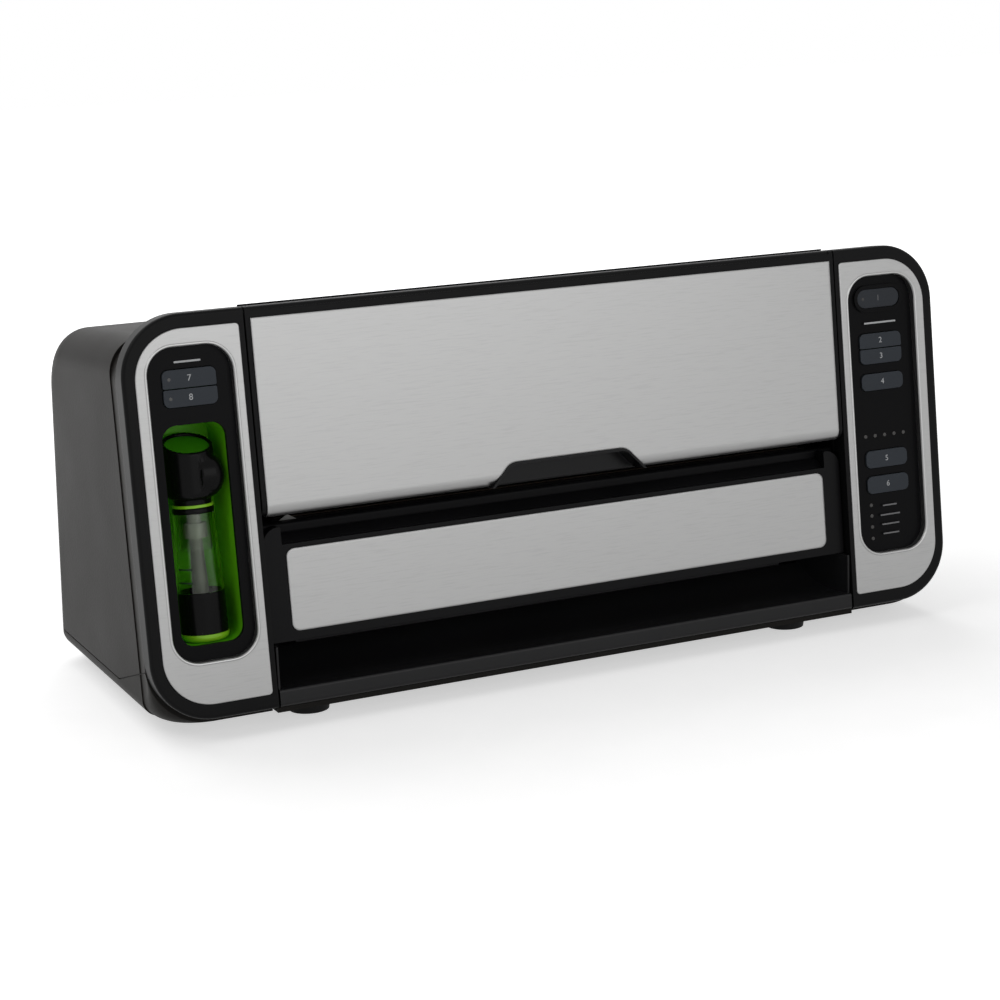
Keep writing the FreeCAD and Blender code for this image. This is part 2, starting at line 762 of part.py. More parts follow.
# Buttons: moulded caps in the panel holes, each with a flange behind the panel that keeps it in.
for name, (side, stem, low_round, top_round) in BUTTONS.items():
    button = new_body(name)
    cap_front = "window_deep-button_proud"
    flange_front = "window_deep+panel_thick+slide_gap"
    pad(button, "front", button_corners(side, stem, low_round, top_round),
        "button_proud+panel_thick+slide_gap+button_flange", cap_front)
    if stem not in ("dispense", "rewind", "vacuum", "marinate"):
        pad(button, "front", button_corners(side, stem, low_round, top_round, "0.8"), "button_flange",
            flange_front)
    else:
        left, right = ("%d*window_centre%s(button_width/2+1)" % (side, sign) for sign in "-+")
        pad(button, "front", box_corners(left, right, stem + "_low+1.2", stem + "_top-1.2"), "button_flange",
            flange_front)
    finish(button, name, leaning=True)

# Lenses: clear light pipes of the progress row and the status lights, from the panel face to the board.
lenses = [rod("lens_%d" % i, "Y", (x, "window_deep-0.2", v), "board_deep-window_deep+0.2", "lens_radius")
          for i, (x, v) in enumerate(LENSES)]
finish(group("panel_lenses", lenses), "panel_lenses", leaning=True)

# Circuit boards: one behind each panel, on the panel's bosses.
for side, name, low in ((RIGHT, "control_board", "window_low-2"), (LEFT, "accessory_board", "niche_top+4")):
    board = new_body(name)
    left, right = ("%d*window_centre%s(window_width/2+1)" % (side, sign) for sign in "-+")
    pad(board, "front", box_corners(left, right, low, "window_top-1.5"), "board_thick", "board_deep")
    finish(board, name, leaning=True)

# Tact switches: one under each button, soldered to its board.
switch_size = 6
sizes()
switches = []
for name, (side, stem, _, _) in BUTTONS.items():
    v = "(%s_low+%s_top)/2" % (stem, stem)
    switches.append(block("switch_" + stem,
        ("%d*window_centre-switch_size/2" % side, "%d*window_centre+switch_size/2" % side),
                          ("window_deep+panel_thick+slide_gap+button_flange+button_travel+0.1", "board_deep"),
                          (v + "-switch_size/2", v + "+switch_size/2")))
finish(group("tact_switches", switches), "tact_switches", leaning=True)

# Docking niche: green moulded tub behind the left panel, for the handheld sealer.
niche = new_body("niche_liner")
pad(niche, "front", niche_corners("niche_wall"), "niche_deep-window_deep-panel_thick",
    "window_deep+panel_thick")
pocket(niche, "front", niche_corners(), "niche_deep-window_deep-panel_thick-niche_wall",
    "window_deep+panel_thick")
finish(niche, "niche_liner", leaning=True)

# Handheld sealer: stands in the niche, turned about its own axis; lifted out forwards.
wand_deep = 17.5
wand_foot = 0.3
ring_radius = 11.7
ring_foot = 3
ring_tall = 3.8
cup_radius = 11.3
cup_tall = 20
cup_wall = 1.4
tank_low_radius = 11.6
tank_top_radius = 10
tank_drop = 42.9
tank_wall = 1.2
tube_radius = 3
tube_low_radius = 4.6
sleeve_radius = 5.6
sleeve_tall = 7
sleeve_drop = 5
neck_radius = 9
neck_tall = 7
head_radius = 12
head_tall = 33
head_slant = 20
head_hollow = 2
head_rim = 1.4
inlay_thick = 0.8
collar_tall = 2.4
band_thick = 0.8
band_tall = 1.4
nozzle_reach = 14.5
nozzle_foot = 1
nozzle_tall = 19
nozzle_front = 12.3
nozzle_wide = 12
sizes()
ties(
    wand_low="niche_low+wand_foot",
    ring_top="wand_low+ring_tall",
    cup_top="ring_top+cup_tall",
    tank_top="niche_top-tank_drop",
    sleeve_top="tank_top-sleeve_drop",
    sleeve_low="sleeve_top-sleeve_tall",
    neck_top="tank_top+neck_tall",
    head_top="tank_top+head_tall",
    nozzle_low="neck_top+nozzle_foot",
)


def stand(piece, name):
    finish(piece, name, leaning=True, x="-window_centre", depth="wand_deep")


stand(turn("wand_ring", [("0", "wand_low"), ("ring_radius", "wand_low", "ring_foot"), ("ring_radius",
    "ring_top", "0.5"),
                         ("0", "ring_top")]), "wand_ring")
stand(turn("wand_cup", [
    ("0", "ring_top"), ("cup_radius", "ring_top"), ("cup_radius", "cup_top"), ("cup_radius-cup_wall",
    "cup_top"),
    ("cup_radius-cup_wall", "ring_top+cup_wall"), ("0", "ring_top+cup_wall")]), "wand_cup")
stand(turn("wand_tank", [
    ("tank_low_radius", "cup_top"), ("tank_top_radius", "tank_top"), ("tank_top_radius-tank_wall",
    "tank_top"),
    ("tank_low_radius-tank_wall", "cup_top")]), "wand_tank")
stand(turn("wand_tube", [
    ("0", "ring_top+cup_wall"), ("tube_low_radius", "ring_top+cup_wall"), ("tube_radius", "sleeve_low"),
    ("sleeve_radius", "sleeve_low"), ("sleeve_radius", "sleeve_top"), ("tube_radius", "sleeve_top"),
    ("tube_radius", "tank_top"), ("0", "tank_top")]), "wand_tube")

# Its head: a black cap on a narrow neck, cut slanting at the top, with the vacuum nozzle boss at one side.
head = turn("head_cap", [
    ("0", "tank_top"), ("tank_top_radius", "tank_top"), ("tank_top_radius", "tank_top+collar_tall", "0.5"),
    ("neck_radius", "tank_top+collar_tall"), ("neck_radius", "neck_top"), ("head_radius", "neck_top", "2.5"),
    ("head_radius", "head_top+12"), ("0", "head_top+12")])
pad(head, "plan", [
    ("2", "-nozzle_front"), ("nozzle_reach", "-nozzle_front", "4"),
    ("nozzle_reach", "nozzle_wide-nozzle_front", "4"),
    ("2", "nozzle_wide-nozzle_front")], "nozzle_tall", "nozzle_low")
pocket(head, "side", [
    ("-3*head_radius", "head_top-3*head_radius*tan(head_slant)"),
    ("3*head_radius", "head_top+3*head_radius*tan(head_slant)"),
    ("3*head_radius", "head_top+6*head_radius"), ("-3*head_radius", "head_top+6*head_radius")],
    "6*head_radius", both=True)


def slanted_disc(name, radius, low, top):
    """Disc square to the slanting top of the head."""
    disc = turn(name, [("0", low), (radius, low), (radius, top), ("0", top)])
    disc.Placement = Placement(Vector(0, 0, value("head_top")), Rotation(Vector(1, 0, 0),
        value("head_slant")))
    disc.setExpression("Placement.Base.z", bound("head_top"))
    disc.setExpression("Placement.Rotation.Angle", bound("head_slant"))
    return disc


dish = slanted_disc("head_dish", "head_radius-head_rim", "-head_hollow", "5")
stand(cut("wand_head", head, dish), "wand_head")

# Inlay: lime disc bonded into the dish of the head.
inlay = slanted_disc("inlay_disc", "head_radius-head_rim-pin_fit", "-head_hollow", "inlay_thick-head_hollow")
stand(group("wand_inlay", [inlay]), "wand_inlay")

# Neck ring: thin lime band round the neck, above the tank's collar.
stand(turn("neck_ring", [
    ("neck_radius", "tank_top+collar_tall+0.4"), ("neck_radius+band_thick", "tank_top+collar_tall+0.4",
    "0.3"),
    ("neck_radius+band_thick", "tank_top+collar_tall+0.4+band_tall", "0.3"),
    ("neck_radius", "tank_top+collar_tall+0.4+band_tall")]), "neck_ring")

# Lid: black moulding that covers the roll bay, hinged at the rear, with the rolled steel plate on its front.
plate_side = 3.3
plate_drop = 5.6
lid_low = 103.6
lid_roll = 5
lid_plate_thick = 1
lid_wall = 2.5
lid_rib = 8
lid_rib_thick = 2.2
lid_lip_edge = 2
flare_round = 15
flare_step = 3
lid_shelf_back = 38
plate_return = 9
knuckle_long = 12
knuckle_wall = 1.8
ear_side = 9.8
ear_thick = 3
feed_radius = 7.5
pinch_radius = 7
film_gap = 1
sizes()
ties(ear_centre="bay_half-ear_side")
ties(
    lid_plate_width="2*bay_half-2*plate_side",
    lid_plate_top="bezel_top-plate_drop",
    lid_top="bezel_top",
)
PINCH_Z = "feed_height+feed_radius+pinch_radius+film_gap"
LID_HALF = "(bay_half-seam_gap)"


def lid_corners(face, inside, top_inset, shelf_inset):
    """Side outline of the lid: front wall, lip, concave flare, sloping top, and the shelf at the bottom."""
    step_y = front_y("bezel_deep+flare_step", "crown_height")
    inner_y = front_y(inside, "crown_height-(%s)" % top_inset)
    return [
        (front_y(face, "lid_low"), "lid_low", "lid_roll"),
        leaned(face, "lid_top") + ("lid_lip_edge",),
        leaned("bezel_deep", "lid_top") + ("1",),
        (step_y, crown_z(step_y), "flare_round"),
        ("hinge_back", crown_z("hinge_back")),
        ("hinge_back", crown_z("hinge_back", top_inset)),
        (inner_y, crown_z(inner_y, top_inset)),
        (front_y(inside, "lid_low+(%s)" % shelf_inset), "lid_low+(%s)" % shelf_inset),
        ("lid_shelf_back", "lid_low+(%s)" % shelf_inset),
        ("lid_shelf_back", "lid_low"),
    ]


lid = new_body("lid_moulding")
pad(lid, "side", lid_corners("lid_plate_thick", "lid_plate_thick+lid_wall", "lid_wall", "lid_wall"),
    "2*" + LID_HALF,
    both=True)
for side in (LEFT, RIGHT):
    middle = "%d*(%s-lid_rib_thick/2)" % (side, LID_HALF)
    pad(lid, "side", lid_corners("bezel_face", "lid_plate_thick+lid_rib", "lid_rib", "lid_rib"),
        "lid_rib_thick", middle,
        both=True)
    pad(lid, "side", [
        (front_y("lid_plate_thick+1", "lid_low+1"), "lid_low+1"), ("lid_shelf_back-1", "lid_low+0.5"),
        ("roller_back+6", PINCH_Z + "-5", "3"), ("roller_back+6", PINCH_Z + "+6", "3"),
        (front_y("lid_plate_thick+1", "lid_low+24"), "lid_low+24")], "ear_thick", "%d*ear_centre" % side,
        both=True)
pad(lid, "side", [
    leaned("bezel_face", "lid_plate_top+fit_gap"), leaned("bezel_face", "lid_top-lid_lip_edge"),
    leaned("lid_plate_thick+1", "lid_top-lid_lip_edge"),
    leaned("lid_plate_thick+1", "lid_plate_top+fit_gap")],
    "2*" + LID_HALF, both=True)
stud(lid, "side", [("hinge_back", HINGE_Z)], "knuckle_radius", "2*" + LID_HALF, both=True)
bore(lid, "side", [("hinge_back", HINGE_Z)], "knuckle_radius-knuckle_wall", "2*(%s-knuckle_long)" % LID_HALF,
    both=True)
bore(lid, "side", [("hinge_back", HINGE_Z)], "pin_radius+pin_fit", "body_width", both=True)
bore(lid, "side", [("roller_back", PINCH_Z)], "shaft_radius+pin_fit", "body_width", both=True)

# Finger notch in the lower edge of the lid, with the black scoop-shaped insert that the fingers hook into.
notch_low_half = 43
notch_top_half = 32.5
notch_top = 114.8
notch_round = 8
grip_wall = 1.5
grip_deep = 13
grip_proud = 0.5
sizes()


def notch_corners(grow="0", low="lid_low-4"):
    slant = "(notch_low_half-notch_top_half)/(notch_top-lid_low)"
    foot = "(notch_low_half+(%s)+(lid_low-(%s))*%s)" % (grow, low, slant)
    tip = "(notch_top_half+(%s)-(%s)*%s)" % (grow, grow, slant)
    top = "notch_top+(%s)" % grow
    return [("-" + foot, low), (foot, low), (tip, top, "notch_round+(%s)" % grow),
            ("-" + tip, top, "notch_round+(%s)" % grow)]


notch = new_body("notch_way")
pad(notch, "front", notch_corners(), "grip_deep+grip_proud+3+fit_gap", "-grip_proud-3")
notch.Placement = Placement(Vector(), Rotation(Vector(-1, 0, 0), value("lean")))
notch.setExpression("Placement.Rotation.Angle", bound("lean"))
finish(cut("lid_cover", lid, notch), "lid_cover")

plate = new_body("lid_sheet")
turned_y = front_y("0", "lid_low-lid_plate_thick")
pad(plate, "side", [
    leaned("0", "lid_plate_top"), (turned_y, "lid_low-lid_plate_thick", "lid_roll+lid_plate_thick"),
    (turned_y + "+plate_return", "lid_low-lid_plate_thick"), (turned_y + "+plate_return", "lid_low"),
    (front_y("lid_plate_thick", "lid_low"), "lid_low", "lid_roll"), leaned("lid_plate_thick",
    "lid_plate_top")],
    "lid_plate_width", both=True)
finish(cut("lid_plate", plate, notch), "lid_plate")

grip = new_body("lid_handle")
pad(grip, "front", notch_corners("-0.1", "lid_low-0.5"), "grip_deep+grip_proud-0.1", "-grip_proud")
pocket(grip, "front", notch_corners("-grip_wall-0.1", "lid_low-8"), "grip_deep+grip_proud-grip_wall+3",
    "-grip_proud-3")
finish(grip, "lid_handle", leaning=True)

# Feed rollers: a driven rubber roller in the deck and an idle one on the lid press the bag film between them.
roller_side = 15.3
shaft_end = 172
pinch_end_gap = 6.3
pinch_side = 13.3
sizes()
ties(pinch_end="bay_half-pinch_end_gap")
ties(
    roller_half="bay_half-roller_side",
    pinch_half="bay_half-pinch_side",
)
feed = new_body("feed_roller")
stud(feed, "side", [("roller_back", "feed_height")], "feed_radius", "2*roller_half", both=True)
stud(feed, "side", [("roller_back", "feed_height")], "shaft_radius", "bay_half+plate_thick+shaft_end",
     "(shaft_end-bay_half-plate_thick)/2", both=True)
finish(feed, "feed_roller")
pinch = new_body("pinch_roller")
stud(pinch, "side", [("roller_back", PINCH_Z)], "pinch_radius", "2*pinch_half", both=True)
stud(pinch, "side", [("roller_back", PINCH_Z)], "shaft_radius", "2*pinch_end", both=True)
finish(pinch, "pinch_roller")
feed_motor_radius = 12
feed_motor_long = 36
sizes()
feed_motor = new_body("feed_motor")
stud(feed_motor, "side", [("roller_back", "feed_height")], "feed_motor_radius", "feed_motor_long",
     "bay_half+plate_thick")
bore(feed_motor, "side", [("roller_back", "feed_height")], "shaft_radius+pin_fit",
     "2*(shaft_end-bay_half-plate_thick+slide_gap)", "bay_half+plate_thick", both=True)
finish(feed_motor, "feed_motor")

# Feed deck: black channel between the side plates, slotted for the roller and the cutter.
deck_front = 22.5
deck_back = 62
deck_top = 97
deck_low = 83
slot_side = 11.3
blade_slot = 2.4
roller_slot_gap = 1.2
strip_front = 33
strip_back = 37
strip_thick = 0.5
strip_side = 14.3
press_gap = 0.9
sizes()
ties(
    slot_half="bay_half-slot_side",
    strip_half="bay_half-strip_side",
)
deck = new_body("feed_deck")
pad(deck, "side", [
    ("deck_front", "deck_low"), ("deck_front+wall", "deck_low"), ("deck_front+wall", "deck_top-wall"),
    ("deck_back-wall", "deck_top-wall"), ("deck_back-wall", "deck_low"), ("deck_back", "deck_low"),
    ("deck_back", "deck_top"), ("deck_front", "deck_top", "1.5")], "2*bay_half", both=True)
pocket(deck, "plan", box_corners("-slot_half", "slot_half", "rail_back-blade_slot/2",
    "rail_back+blade_slot/2"), "20",
       "deck_top+5")
pocket(deck, "plan", box_corners(
    "-roller_half-roller_slot_gap", "roller_half+roller_slot_gap", "roller_back-feed_radius-roller_slot_gap",
    "roller_back+feed_radius+roller_slot_gap"), "20", "deck_top+5")
finish(deck, "feed_deck")

# Bag-making seal: a heating strip on the deck and the silicone bar on the lid that presses the film to it.
strip = new_body("seal_strip")
pad(strip, "plan", box_corners("-strip_half", "strip_half", "strip_front", "strip_back"), "strip_thick",
    "deck_top")
finish(strip, "seal_strip")
bar = new_body("press_bar")
pad(bar, "side", box_corners("strip_front", "strip_back", "deck_top+strip_thick+press_gap", "lid_low"),
    "2*strip_half",
    both=True)
finish(bar, "press_bar")

# Cutter: a small carriage with an upright blade, on a steel rail under the deck.
carriage_half = 7
carriage_side = 3.6
carriage_low = 4.5
carriage_high = 6
blade_thick = 0.8
blade_top = 99.5
park_side = 19.3
sizes()
ties(cutter_park="bay_half-park_side")
rail = rod("cutter_bar", "X", ("-bay_half-plate_thick", "rail_back", "rail_height"),
    "2*(bay_half+plate_thick)",
           "rail_radius")
finish(group("cutter_rail", [rail]), "cutter_rail")
cutter = new_body("cutter_carriage")
pad(cutter, "side", box_corners("rail_back-carriage_side", "rail_back+carriage_side",
    "rail_height-carriage_low",
                                "rail_height+carriage_high", "1"), "2*carriage_half", "-cutter_park",
                                both=True)
pad(cutter, "front", [
    ("-cutter_park-carriage_half+1", "rail_height+3"), ("-cutter_park+carriage_half-1", "rail_height+3"),
    ("-cutter_park+carriage_half-2", "blade_top-3"), ("-cutter_park", "blade_top"),
    ("-cutter_park-carriage_half+2", "blade_top-3")], "blade_thick", "rail_back-blade_thick/2")
bore(cutter, "side", [("rail_back", "rail_height")], "rail_radius+pin_fit", "2*carriage_half+4",
    "-cutter_park",
     both=True)
finish(cutter, "cutter_carriage")

# Roll bay: black trough between the side plates, in which the bag roll lies.
bay_front = 62.3
bay_back = 146
bay_floor = 97
bay_back_top = 150
bay_front_round = 36
bay_back_round = 40
sizes()
trough = new_body("roll_trough")
pad(trough, "side", [
    ("bay_front", "bay_floor-wall", "bay_front_round+wall"), ("bay_back", "bay_floor-wall",
    "bay_back_round+wall"),
    ("bay_back", "bay_back_top"), ("bay_back-wall", "bay_back_top"),
    ("bay_back-wall", "bay_floor", "bay_back_round"), ("bay_front+wall", "bay_floor", "bay_front_round"),
    ("bay_front+wall", "bay_floor+bay_front_round+1"), ("bay_front", "bay_floor+bay_front_round+1")],
    "2*bay_half", both=True)
finish(trough, "roll_trough")

# Drawer: the black lower tray with the bag ramp and the vacuum channel, which pops out forwards.
drawer_gap = 1
lip_face = 0.6
lip_top = 20.5
ramp_turn = 22
ramp_top = 32
ramp_back = 38
ramp_round = 40
drawer_back = 100
cheek_side = 9.3
cheek_narrow_side = 13.3
drawer_front_low = 42.4
drawer_front_back = 13
channel_side = 23.3
channel_front = 50
channel_back = 88
channel_floor = 15
sizes()
ties(
    cheek_inner="bay_half-cheek_side",
    cheek_narrow="bay_half-cheek_narrow_side",
    channel_half="bay_half-channel_side",
)
DRAWER_HALF = "(bay_half-drawer_gap)"
DRAWER_LOW = "(foot_height+floor_thick+slide_gap)"
WALL_TOP = "(drawer_front_low*cos(lean)-drawer_front_back*sin(lean))"
tray = new_body("drawer_base")
pad(tray, "side", [
    (front_y("lip_face", DRAWER_LOW), DRAWER_LOW, "2"), leaned("lip_face", "lip_top") + ("1.2",),
    ("ramp_turn", "lip_top", "ramp_round"), ("ramp_back", "ramp_top"),
    ("drawer_back", "ramp_top"), ("drawer_back", DRAWER_LOW)], "2*" + DRAWER_HALF, both=True)
for side in (LEFT, RIGHT):
    page = [("%d*%s" % (side, DRAWER_HALF), front_y("lip_face", WALL_TOP)),
            ("%d*%s" % (side, DRAWER_HALF), "drawer_back"), ("%d*cheek_inner" % side, "drawer_back"),
            ("%d*cheek_inner" % side, "ramp_back+6"), ("%d*cheek_narrow" % side, "ramp_back"),
            ("%d*(%s-1)" % (side, DRAWER_HALF), front_y("lip_face", WALL_TOP))]
    pad(tray, "plan", page, WALL_TOP + "-lip_top+1", "lip_top-1")
pocket(tray, "plan", box_corners("-channel_half", "channel_half", "channel_front", "channel_back", "5"), "40",
       "channel_floor+40")
finish(tray, "drawer_base")

# Drawer front: black panel with raised ends and a sloping top edge, which the steel plate is let into.
drawer_face = 5.4
drawer_plate_face = 4.9
drawer_plate_side = 12
drawer_plate_low = 47
drawer_plate_top = 87
drawer_plate_corner = 4
drawer_plate_thick = 1.2
drawer_front_top = 89.3
drawer_slope_top = 94
end_side = 10.3
end_top = 98
end_top_round = 8
sizes()
ties(end_inner="bay_half-end_side")
ties(drawer_plate_half="bay_half-drawer_plate_side")
front = new_body("drawer_front")
pad(front, "front", box_corners("-" + DRAWER_HALF, DRAWER_HALF, "drawer_front_low", "drawer_front_top"),
    "drawer_front_back-drawer_face", "drawer_face")
pad(front, "side", [
    ("drawer_face+1.5", "drawer_front_top-1"), ("drawer_front_back", "drawer_front_top-1"),
    ("drawer_front_back", "drawer_slope_top")], "2*end_inner", both=True)
for side in (LEFT, RIGHT):
    near, far = "%d*end_inner" % side, "%d*%s" % (side, DRAWER_HALF)
    pad(front, "front", [(near, "drawer_front_low"), (far, "drawer_front_low"), (far, "end_top",
        "end_top_round"),
                         (near, "end_top", "1")], "drawer_front_back-drawer_face", "drawer_face")


def drawer_plate_corners(grow="0"):
    half = "(drawer_plate_half+(%s))" % grow
    return box_corners("-" + half, half, "drawer_plate_low-(%s)" % grow, "drawer_plate_top+(%s)" % grow,
                       "drawer_plate_corner+(%s)" % grow)


pocket(front, "front", drawer_plate_corners("fit_gap"), "drawer_plate_thick+2", "drawer_plate_face-2")
finish(front, "drawer_front", leaning=True)
steel = new_body("drawer_plate")
pad(steel, "front", drawer_plate_corners(), "drawer_plate_thick", "drawer_plate_face")
finish(steel, "drawer_plate", leaning=True)

# Drip tray: removable tray in the vacuum channel.
tray_gap = 0.5
tray_wall = 1.5
tray_top = 31
sizes()
drip = new_body("drip_tray")
pad(drip, "plan", box_corners("-channel_half+tray_gap", "channel_half-tray_gap", "channel_front+tray_gap",
                              "channel_back-tray_gap", "4.5"), "tray_top-channel_floor-0.05",
                              "channel_floor+0.05")
pocket(drip, "plan", box_corners(
    "-channel_half+tray_gap+tray_wall", "channel_half-tray_gap-tray_wall", "channel_front+tray_gap+tray_wall",
    "channel_back-tray_gap-tray_wall", "3"), "30", "channel_floor+tray_wall+30")
finish(drip, "drip_tray")

# Sealing rings: foam gaskets round the channel, below on the drawer and above on the vacuum head.
gasket_wide = 4
gasket_inset = 1.5
gasket_thick = 2.5
head_gap = 2.6
gasket_round = 5
sizes()


def ring(name, low):
    owner = new_body(name)
    inner = [("-channel_half-gasket_inset", "channel_half+gasket_inset"),
             ("channel_front-gasket_inset", "channel_back+gasket_inset")]
    (left, right), (near, far) = inner
    pad(owner, "plan", box_corners(left + "-gasket_wide", right + "+gasket_wide", near + "-gasket_wide",
                                   far + "+gasket_wide", "gasket_round+gasket_wide"), "gasket_thick", low)
    pocket(owner, "plan", box_corners(left, right, near, far, "gasket_round"), "gasket_thick+2",
           low + "+gasket_thick+1")
    finish(owner, name)


UPPER_RING = "ramp_top+gasket_thick+head_gap"
HEAD_LOW = UPPER_RING + "+gasket_thick"
ring("lower_gasket", "ramp_top")
ring("upper_gasket", UPPER_RING)

# Vacuum head: ribbed upper jaw with the heating bar, which comes down on the bag along two guide rods.
head_side = 16.3
head_front = 43.5
head_back = 97
head_thick = 14
head_wall = 2.5
guide_radius = 4
guide_side = 38.3
guide_back = 106
guide_top = 90
guide_ear = 8
head_ear_thick = 10
heat_front = 39
heat_drop = 4
seal_pad_thick = 1
sizes()
ties(
    head_half="bay_half-head_side",
    guide_half="bay_half-guide_side",
)
jaw = new_body("vacuum_head")
pad(jaw, "plan", box_corners("-head_half", "head_half", "head_front", "head_back", "3"), "head_thick",
    HEAD_LOW)
pocket(jaw, "plan", box_corners("-channel_half", "channel_half", "channel_front", "channel_back", "5"),
       "head_thick-head_wall", HEAD_LOW + "+head_thick-head_wall")
for side in (LEFT, RIGHT):
    x = "%d*guide_half" % side
    pad(jaw, "plan", [(x + "-guide_ear", "head_back-2"), (x + "+guide_ear", "head_back-2"),
                      (x + "+guide_ear", "guide_back+guide_ear", "6"), (x + "-guide_ear",
                      "guide_back+guide_ear", "6")],
        "head_ear_thick", HEAD_LOW + "+2")
    bore(jaw, "plan", [(x, "guide_back")], "guide_radius+pin_fit", "40", HEAD_LOW + "+35")
finish(jaw, "vacuum_head")
heat = new_body("heat_bar")
pad(heat, "plan", box_corners("-head_half", "head_half", "heat_front", "head_front"), "heat_drop+6",
    HEAD_LOW + "-heat_drop")
finish(heat, "heat_bar")
seal = new_body("seal_pad")
pad(seal, "plan", box_corners("-channel_half", "channel_half", "ramp_back+1", "head_front"), "seal_pad_thick",
    "ramp_top")
finish(seal, "seal_pad")
guides = [rod("guide_%d" % side, "Z", ("%d*guide_half" % side, "guide_back", "foot_height+floor_thick"),
              "guide_top-foot_height-floor_thick", "guide_radius") for side in (LEFT, RIGHT)]
finish(group("guide_rods", guides), "guide_rods")

# Vacuum pump and its motor, on the floor of the base behind the drawer.
pump_left = -62
pump_wide = 52
pump_front = 122
pump_deep = 44
pump_tall = 42
pump_head_radius = 13
pump_head_tall = 14
pump_port_radius = 3
pump_port_long = 10
motor_radius = 17
motor_long = 54
coil_left = 60
coil_wide = 50
coil_front = 122
coil_deep = 40
coil_tall = 46
coil_core = 14
sizes()
FLOOR = "(foot_height+floor_thick)"
MOTOR_Y, MOTOR_Z = "pump_front+pump_deep/2", FLOOR + "+pump_tall/2"
pump = new_body("vacuum_pump")
pad(pump, "plan", box_corners("pump_left", "pump_left+pump_wide", "pump_front", "pump_front+pump_deep", "4"),
    "pump_tall",
    FLOOR)
stud(pump, "plan", [("pump_left+pump_wide/2", MOTOR_Y)], "pump_head_radius", "pump_head_tall+1",
    FLOOR + "+pump_tall-1")
stud(pump, "plan", [("pump_left+pump_wide/2%s6" % sign, MOTOR_Y) for sign in "-+"], "pump_port_radius",
     "pump_port_long+1", FLOOR + "+pump_tall+pump_head_tall-1")
finish(pump, "vacuum_pump")
motor = new_body("pump_motor")
stud(motor, "side", [(MOTOR_Y, MOTOR_Z)], "motor_radius", "motor_long", "pump_left+pump_wide")
stud(motor, "side", [(MOTOR_Y, MOTOR_Z)], "motor_radius/3", "motor_long+5", "pump_left+pump_wide")
finish(motor, "pump_motor")

# Mains transformer: laminated core round a wound bobbin, on the floor at the right.
coil = new_body("transformer")
pad(coil, "plan", box_corners("coil_left", "coil_left+coil_wide", "coil_front+coil_core/2",
                              "coil_front+coil_deep-coil_core/2"), "coil_tall", FLOOR)
pad(coil, "plan", box_corners("coil_left+coil_core/2", "coil_left+coil_wide-coil_core/2", "coil_front",
                              "coil_front+coil_deep", "3"), "coil_tall-coil_core", FLOOR + "+coil_core/2")
finish(coil, "transformer")

# Nothing is written unless every feature and every sub-part came out whole.
doc.recompute()
for feature in doc.Objects:
    if "Invalid" in feature.State or "Error" in feature.State:
        raise RuntimeError("%s failed: %s" % (feature.Name, feature.getStatusString()))
    if feature.isDerivedFrom("PartDesign::Pocket"):
        if feature.Shape.Volume > feature.BaseFeature.Shape.Volume - 0.01:
            raise RuntimeError("%s cuts nothing" % feature.Name)
os.makedirs("parts", exist_ok=True)
for piece in subparts:
    if piece.Shape.isNull() or not piece.Shape.isValid():
        raise RuntimeError("%s is not a sound solid" % piece.Label)
    piece.Shape.exportStep("parts/%s.step" % piece.Label)
    print("%-18s %d solid(s) %9.0f mm3" % (piece.Label, len(piece.Shape.Solids), piece.Shape.Volume))
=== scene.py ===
"""Countertop vacuum sealer on a plain pale floor: grey housing, steel faces, black trim, green niche."""
import bmesh
import bpy
import math
from mathutils import Matrix, Vector


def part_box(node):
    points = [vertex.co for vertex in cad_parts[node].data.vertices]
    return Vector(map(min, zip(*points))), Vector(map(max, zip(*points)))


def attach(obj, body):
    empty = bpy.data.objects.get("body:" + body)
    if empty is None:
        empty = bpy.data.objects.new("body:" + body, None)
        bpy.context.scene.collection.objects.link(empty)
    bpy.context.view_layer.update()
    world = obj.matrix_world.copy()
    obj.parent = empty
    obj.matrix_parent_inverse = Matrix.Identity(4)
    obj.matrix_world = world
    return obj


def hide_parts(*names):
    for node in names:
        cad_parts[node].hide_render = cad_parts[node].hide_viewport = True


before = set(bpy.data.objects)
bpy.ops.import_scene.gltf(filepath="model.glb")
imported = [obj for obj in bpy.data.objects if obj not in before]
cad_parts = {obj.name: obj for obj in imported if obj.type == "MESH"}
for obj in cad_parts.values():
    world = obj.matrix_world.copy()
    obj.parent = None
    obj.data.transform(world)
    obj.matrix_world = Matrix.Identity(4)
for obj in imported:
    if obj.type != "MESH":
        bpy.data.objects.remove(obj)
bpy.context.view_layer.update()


# Housing: the grey loaf-shaped cover, moulded in satin ABS with a fine spark texture.
# The pan below it is the same plastic, and the two meet at a seam that runs round the sides.
def join(tree, socket, source):
    """Link a socket to another node's output, or set it to a constant."""
    if isinstance(source, bpy.types.NodeSocket):
        tree.links.new(source, socket)
    else:
        socket.default_value = source


def node_maker(tree):
    """Function that adds a node to a tree, with its settings made and its inputs joined."""
    def add(kind, inputs=None, **settings):
        node = tree.nodes.new(kind)
        for key, setting in settings.items():
            setattr(node, key, setting)
        for key, source in (inputs or {}).items():
            join(tree, node.inputs[key], source)
        return node

    return add


def shader(name):
    """New material, a function that adds a node to it, one that feeds its surface, and its coordinates."""
    material = bpy.data.materials.new(name)
    material.use_nodes = True
    tree = material.node_tree
    add = node_maker(tree)
    surface = tree.nodes["Principled BSDF"]

    def feed(socket, source):
        join(tree, surface.inputs[socket], source)

    return material, add, feed, add("ShaderNodeTexCoord").outputs["Object"]


def noise(add, place, scale, detail, roughness=0.5):
    """Cloudy value from 0 to 1."""
    inputs = {"Vector": place, "Scale": scale, "Detail": detail, "Roughness": roughness}
    return add("ShaderNodeTexNoise", inputs).outputs["Fac"]


